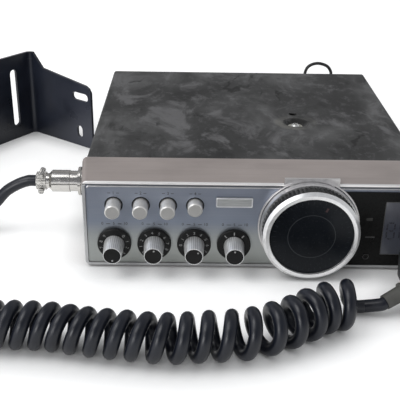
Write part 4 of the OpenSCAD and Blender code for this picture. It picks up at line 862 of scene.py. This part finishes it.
def facing_about(centre, radius, turn, y, roll=0):
    """The same at a distance from a centre, in degrees clockwise from its top."""
    a = math.radians(turn)
    return facing(centre[0] + radius * math.sin(a), y, centre[1] + radius * math.cos(a), roll)


def write(bm, text, size, where):
    """Adds the flat shape of a text to a mesh."""
    data = bpy.data.curves.new("text", "FONT")
    data.body = text
    data.size = size
    data.align_x = "CENTER"
    data.align_y = "CENTER"
    data.resolution_u = 3
    obj = bpy.data.objects.new("text", data)
    scene.collection.objects.link(obj)
    mesh = bpy.data.meshes.new_from_object(obj.evaluated_get(bpy.context.evaluated_depsgraph_get()))
    bpy.data.objects.remove(obj)
    bpy.data.curves.remove(data)
    mesh.transform(where)
    bm.from_mesh(mesh)
    bpy.data.meshes.remove(mesh)


def bar(bm, width, height, where):
    """Adds a flat bar to a mesh."""
    corners = ((-1, -1), (1, -1), (1, 1), (-1, 1))
    points = [bm.verts.new(where @ Vector((sx * width / 2, sy * height / 2, 0))) for sx, sy in corners]
    bm.faces.new(points)


def disc(bm, radius, where, crown):
    """Adds a round spot with a crowned middle to a mesh."""
    middle = bm.verts.new(where @ Vector((0, 0, crown)))
    rim = []
    for i in range(DISC_SIDES):
        a = 2 * math.pi * i / DISC_SIDES
        rim.append(bm.verts.new(where @ Vector((radius * math.cos(a), radius * math.sin(a), 0))))
    for a, b in zip(rim, rim[1:] + rim[:1]):
        bm.faces.new((middle, a, b))


# Marks of the panel, knobs and dial

BUTTON_MARK_Z = 46.4
BUTTON_MARK_SIZE = 2.6
BUTTON_DASH = (1.6, 0.3)
BUTTON_DASH_SHIFT = 2.4
SCALE_Z = 27.6
SCALE_SIZE = 2.4
SCALE_TEXT = (("0", -6.4), ("5", 0), ("10", 6.4))
SCALE_DASH = (2.2, 0.3)
SCALE_DASH_SHIFT = 3.2
SCALE_DASH_Z = 27.5
NUMBER_R = 7.4
NUMBER_SIZE = 2.5
NUMBERS = 10
NUMBER_STEP = 30
PLAIN_KNOB = "tune"
PLAIN_BAR = (0.5, 2)
PLAIN_BARS = 3
PLAIN_STEP = 40
DOT_R = 3.1
DOT_SIZE = 0.5
DOT_CROWN = 0.1
POINTER_R = 17.6
POINTER_TURN = 24
POINTER_BAR = (1.1, 2.4)


def panel_marks():
    """Numbers over the buttons and scales over the knobs."""
    bm = bmesh.new()
    y = Y_PANEL - PRINT_GAP
    for i, x in enumerate(BUTTON_X):
        write(bm, str(i + 1), BUTTON_MARK_SIZE, facing(x, y, BUTTON_MARK_Z))
        for side in (-1, 1):
            bar(bm, *BUTTON_DASH, facing(x + side * BUTTON_DASH_SHIFT, y, BUTTON_MARK_Z))
    for x in KNOB_X:
        for text, shift in SCALE_TEXT:
            write(bm, text, SCALE_SIZE, facing(x + shift, y, SCALE_Z))
        for side in (-1, 1):
            bar(bm, *SCALE_DASH, facing(x + side * SCALE_DASH_SHIFT, y, SCALE_DASH_Z))
    piece("panel_marks", bm, print_dark)


def knob_marks():
    """Numbers or bars on the skirts and a dot on the cores, which turn with the knobs."""
    for name, x, angle in zip(KNOB_NAMES, KNOB_X, KNOB_ANGLE):
        body = name + "_control"
        centre = (x, KNOB_Z)
        plain = name == PLAIN_KNOB
        count, step = (PLAIN_BARS, PLAIN_STEP) if plain else (NUMBERS, NUMBER_STEP)
        bm = bmesh.new()
        for i in range(count):
            turn = angle + (i - (count - 1) / 2) * step
            where = facing_about(centre, NUMBER_R, turn, SKIRT_FRONT - PRINT_GAP, -turn)
            if plain:
                bar(bm, *PLAIN_BAR, where)
            else:
                write(bm, str(i), NUMBER_SIZE, where)
        piece(name + "_numbers", bm, print_pale, body)
        bm = bmesh.new()
        disc(bm, DOT_SIZE, facing_about(centre, DOT_R, angle, CORE_FRONT - PRINT_GAP), DOT_CROWN)
        piece(name + "_dot", bm, print_white, body)


def dial_marks():
    """A pointer that turns with the channel dial."""
    bm = bmesh.new()
    where = facing_about(DIAL, POINTER_R, POINTER_TURN, DIAL_FACE - PRINT_GAP, -POINTER_TURN)
    bar(bm, *POINTER_BAR, where)
    piece("dial_pointer", bm, print_red, "channel_dial")


# Beads, frames and rims

CORNER_STEPS = 6
TRIM_SIDES = 3
BEAD_D = 1.2
BEAD_INSET = 1
BEAD_BREAK = 16.6
BADGE_INSET = 0.4
BADGE_R = 0.5
BADGE_FRAME_D = 0.7
WINDOW_R = 0.3
FINE_D = 0.4
LAMP_RING_R = 1.6
LAMP_RING_POINTS = 18
BUTTON_RING_R = 4.75
BUTTON_RING_POINTS = 24
BUTTON_RING_D = 0.6


def rounded_path(x0, x1, z0, z1, r, y):
    """Points of a rectangle with round corners that faces the viewer, clockwise from its top left."""
    corners = ((x0 + r, z1 - r, 180), (x1 - r, z1 - r, 90), (x1 - r, z0 + r, 0), (x0 + r, z0 + r, -90))
    found = []
    for cx, cz, first in corners:
        for i in range(CORNER_STEPS + 1):
            a = math.radians(first - 90 * i / CORNER_STEPS)
            found.append(Vector((cx + r * math.cos(a), y, cz + r * math.sin(a))))
    return found


def ring_path(x, z, r, y, count):
    """Points of a circle that faces the viewer."""
    angles = [math.radians(360 / count * k) for k in range(count)]
    return [Vector((x + r * math.cos(a), y, z + r * math.sin(a))) for a in angles]


def trim(name, points, thick, material, closed=False):
    """A thin round strip on the front of the radio."""
    obj = tube(name, points, thick, closed, TRIM_SIDES)
    paint(obj, material)
    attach(obj, "radio")


def panel_beads():
    """A bead along the panel's top edge, broken by the dial's collar."""
    top_z = PANEL_Z[1] - BEAD_INSET
    path = rounded_path(PANEL_X[0] + BEAD_INSET, PANEL_X[1] - BEAD_INSET, PANEL_Z[0] + BEAD_INSET, top_z,
                        PANEL_R, Y_PANEL)
    corner = CORNER_STEPS + 1
    left, right = [Vector((DIAL[0] + side * BEAD_BREAK, Y_PANEL, top_z)) for side in (-1, 1)]
    trim("panel_bead_left", path[:corner] + [left], BEAD_D, bead_metal)
    trim("panel_bead_right", [right] + path[corner:2 * corner], BEAD_D, bead_metal)


def frames():
    """A bright frame about the badge and a dim one about the window."""
    half_w = BADGE_SIZE[0] / 2 - BADGE_INSET
    half_h = BADGE_SIZE[1] / 2 - BADGE_INSET
    badge = rounded_path(BADGE[0] - half_w, BADGE[0] + half_w, BADGE[1] - half_h, BADGE[1] + half_h,
                         BADGE_R, Y_RIM)
    trim("badge_frame", badge, BADGE_FRAME_D, bright_trim, True)
    trim("window_frame", rounded_path(*WINDOW, WINDOW_R, Y_DISPLAY), FINE_D, print_dim, True)


def lamp_ring():
    """A dim ring about the lamp of the display panel."""
    ring = ring_path(*LAMP, LAMP_RING_R, Y_LAMP, LAMP_RING_POINTS)
    trim("lamp_ring", ring, FINE_D, print_dim, True)


def button_rings():
    """Dark rings about the holes that the buttons stand in, painted shade of the gaps."""
    for i, x in enumerate(BUTTON_X):
        ring = ring_path(x, BUTTON_Z, BUTTON_RING_R, Y_PANEL, BUTTON_RING_POINTS)
        trim("button_ring_" + str(i + 1), ring, BUTTON_RING_D, knob_black, True)


# Display and screw heads

DISPLAY_BAR = (5.4, 0.8)
DISPLAY_BAR_AT = (64.4, 21.5)
DIGIT_HALF = (2.1, 5)
DIGIT_SHIFT = 3.6
DIGIT_Z = 25.5
SEGMENT_T = 0.9
SEGMENT_CUT = 1.2
FLAT_SEGMENTS = ((0, 1), (0, 0), (0, -1))
UPRIGHT_SEGMENTS = ((-1, 0.5), (1, 0.5), (-1, -0.5), (1, -0.5))
CROSS_SIZE = 2.6
CROSS_SHARE = 0.22
CROSS_TURN = 24
CROSS_GAP = 0.01


def display_marks():
    """A dim bar on the display panel."""
    bm = bmesh.new()
    bar(bm, *DISPLAY_BAR, facing(DISPLAY_BAR_AT[0], Y_DISPLAY - PRINT_GAP, DISPLAY_BAR_AT[1]))
    piece("display_bar", bm, print_dim)


def display_digits():
    """Two unlit digits on the window."""
    bm = bmesh.new()
    wide, tall = DIGIT_HALF
    middle = (WINDOW[0] + WINDOW[1]) / 2
    flat = (2 * wide - SEGMENT_CUT, SEGMENT_T)
    upright = (SEGMENT_T, tall - SEGMENT_CUT)
    for side in (-1, 1):
        for places, size in ((FLAT_SEGMENTS, flat), (UPRIGHT_SEGMENTS, upright)):
            for sx, sz in places:
                x = middle + side * DIGIT_SHIFT + sx * wide
                bar(bm, *size, facing(x, Y_DISPLAY - PRINT_GAP, DIGIT_Z + sz * tall))
    piece("display_digits", bm, digit_dark)


def cross(bm, at, turn):
    """Adds a cross-shaped recess drawn on a screw head."""
    where = Matrix.Scale(MM, 4) @ Matrix.Translation(at) @ turn
    bar(bm, CROSS_SIZE, CROSS_SIZE * CROSS_SHARE, where)
    bar(bm, CROSS_SIZE * CROSS_SHARE, CROSS_SIZE, where @ Matrix.Translation((0, 0, CROSS_GAP)))


def screw_crosses():
    """The recesses of the dimple's screw and of the screws in both sides."""
    bm = bmesh.new()
    tilt = Matrix.Rotation(math.radians(CROSS_TURN), 4, "Z")
    rise = SCREW_HEAD + PRINT_GAP
    cross(bm, (*DIMPLE, DIMPLE_Z + rise), tilt)
    for y in SIDE_SCREW_Y:
        for z in SIDE_SCREW_Z:
            for side in (-1, 1):
                turn = Matrix.Rotation(math.radians(90 * side), 4, "Y") @ tilt
                cross(bm, (side * (HALF_WIDTH + rise), y, z), turn)
    piece("screw_crosses", bm, print_dark)


panel_marks()
knob_marks()
dial_marks()
panel_beads()
frames()
display_marks()
lamp_ring()
button_rings()
display_digits()
screw_crosses()


# Floor, light and background

FLOOR_HALF = 5
FLOOR_TONE = (0.7, 0.7, 0.7, 1)
FLOOR_GLOW = (1, 1, 0.995, 1)
CONTACT_REACH = 0.02
GLOW_FROM_TO = (0.4, 1.8)
GLOW_LEVELS = (0.48, 0.68)

# Tones of the room that shiny pieces mirror
ROOM_LOW = (0.95, 0.96, 1)
ROOM_HIGH = (0.4, 0.405, 0.43)
ROOM_RIGHT = grey(0.3)

# Each dark card's direction, the cosines where it begins and is full, and its tone
FRONT_CARD = ((0, -0.8, 0.6), 0.82, 0.95, (0.2, 0.205, 0.22))
BACK_CARD = ((0, 0.8, 0.6), 0.8, 0.93, (0.22, 0.22, 0.225))

# The sky that lights the scene and isn't seen itself
SKY_TONE = (0.95, 0.97, 1, 1)
SKY_STRENGTH = 0.5

# Each lamp's name, place, aim, size in metres and power in watts
LAMPS = (
    ("key", (-0.75, -0.3, 1.15), (0, -0.05, 0), 0.9, 8),
    ("front", (-0.8, -1.0, 0.45), (0, -0.1, 0.02), 0.6, 5),
    ("back", (0.3, 0.9, 0.9), (0, 0, 0.03), 1.4, 1.5),
)


def seen(tree):
    """One for the rays that show the background: from the camera, and off or through shiny pieces."""
    path = add(tree, "ShaderNodeLightPath")
    shown = maths(tree, "MAXIMUM", path.outputs["Is Camera Ray"], path.outputs["Is Glossy Ray"])
    return maths(tree, "MAXIMUM", shown, path.outputs["Is Transmission Ray"])


def make_floor():
    """A wide white floor that keeps the soft shadows where pieces touch it, and whose glow fades near pieces
    as a painted contact shadow.
    """
    material, tree, shader = look("floor", Roughness=0.9, Specular_IOR_Level=0.0, Base_Color=FLOOR_TONE,
                                  Emission_Color=FLOOR_GLOW)
    # The glow fades by ambient occlusion near pieces: a painted contact shadow
    open_sky = add(tree, "ShaderNodeAmbientOcclusion", {"Distance": CONTACT_REACH}, samples=8).outputs["AO"]
    far = add(tree, "ShaderNodeVectorMath", {0: place(tree)}, operation="LENGTH").outputs["Value"]
    glow = times(tree, times(tree, open_sky, open_sky), span(tree, far, *GLOW_FROM_TO, *GLOW_LEVELS))
    link(tree, shader, Emission_Strength=times(tree, seen(tree), glow))
    bm = bmesh.new()
    bmesh.ops.create_grid(bm, x_segments=1, y_segments=1, size=FLOOR_HALF)
    floor = mesh_object("floor", bm, material)


def card(tree, room, way, middle, edge, full, tone):
    """A dark studio card about a direction, clear of the horizon."""
    return tint(tree, room, tone, dot(tree, way, middle), edge, full)


def make_world():
    """An even room with two dark cards, which is plain white where the camera sees it directly."""
    world = bpy.data.worlds.new("studio")
    world.use_nodes = True
    tree = world.node_tree
    tree.nodes.clear()
    way = add(tree, "ShaderNodeTexCoord").outputs["Generated"]
    parts = add(tree, "ShaderNodeSeparateXYZ", {0: way})
    room = ramp(tree, span(tree, parts.outputs[2], 0.1, 0.95), (0, ROOM_LOW), (1, ROOM_HIGH))
    room = tint(tree, room, ROOM_RIGHT, parts.outputs[0], 0.1, 0.9, share=0.5)
    room = card(tree, room, way, *FRONT_CARD)
    room = card(tree, room, way, *BACK_CARD)
    seen_directly = add(tree, "ShaderNodeLightPath").outputs["Is Camera Ray"]
    room = blend(tree, seen_directly, room, grey(1))
    shown = add(tree, "ShaderNodeBackground", {"Color": room, "Strength": 1})
    light = add(tree, "ShaderNodeBackground", {"Color": SKY_TONE, "Strength": SKY_STRENGTH})
    mixed = add(tree, "ShaderNodeMixShader", {0: seen(tree), 1: light.outputs[0], 2: shown.outputs[0]})
    add(tree, "ShaderNodeOutputWorld", {"Surface": mixed.outputs[0]})
    scene.world = world


def lamp(name, at, aim, size, watts):
    """A round lamp that points at its aim."""
    data = bpy.data.lights.new(name, "AREA")
    data.shape = "DISK"
    data.size = size
    data.energy = watts
    obj = bpy.data.objects.new(name, data)
    obj.location = at
    obj.rotation_euler = (Vector(aim) - Vector(at)).to_track_quat("-Z", "Y").to_euler()
    scene.collection.objects.link(obj)


make_floor()
make_world()
for row in LAMPS:
    lamp(*row)
scene.view_settings.view_transform = "Standard"

bpy.context.view_layer.update()
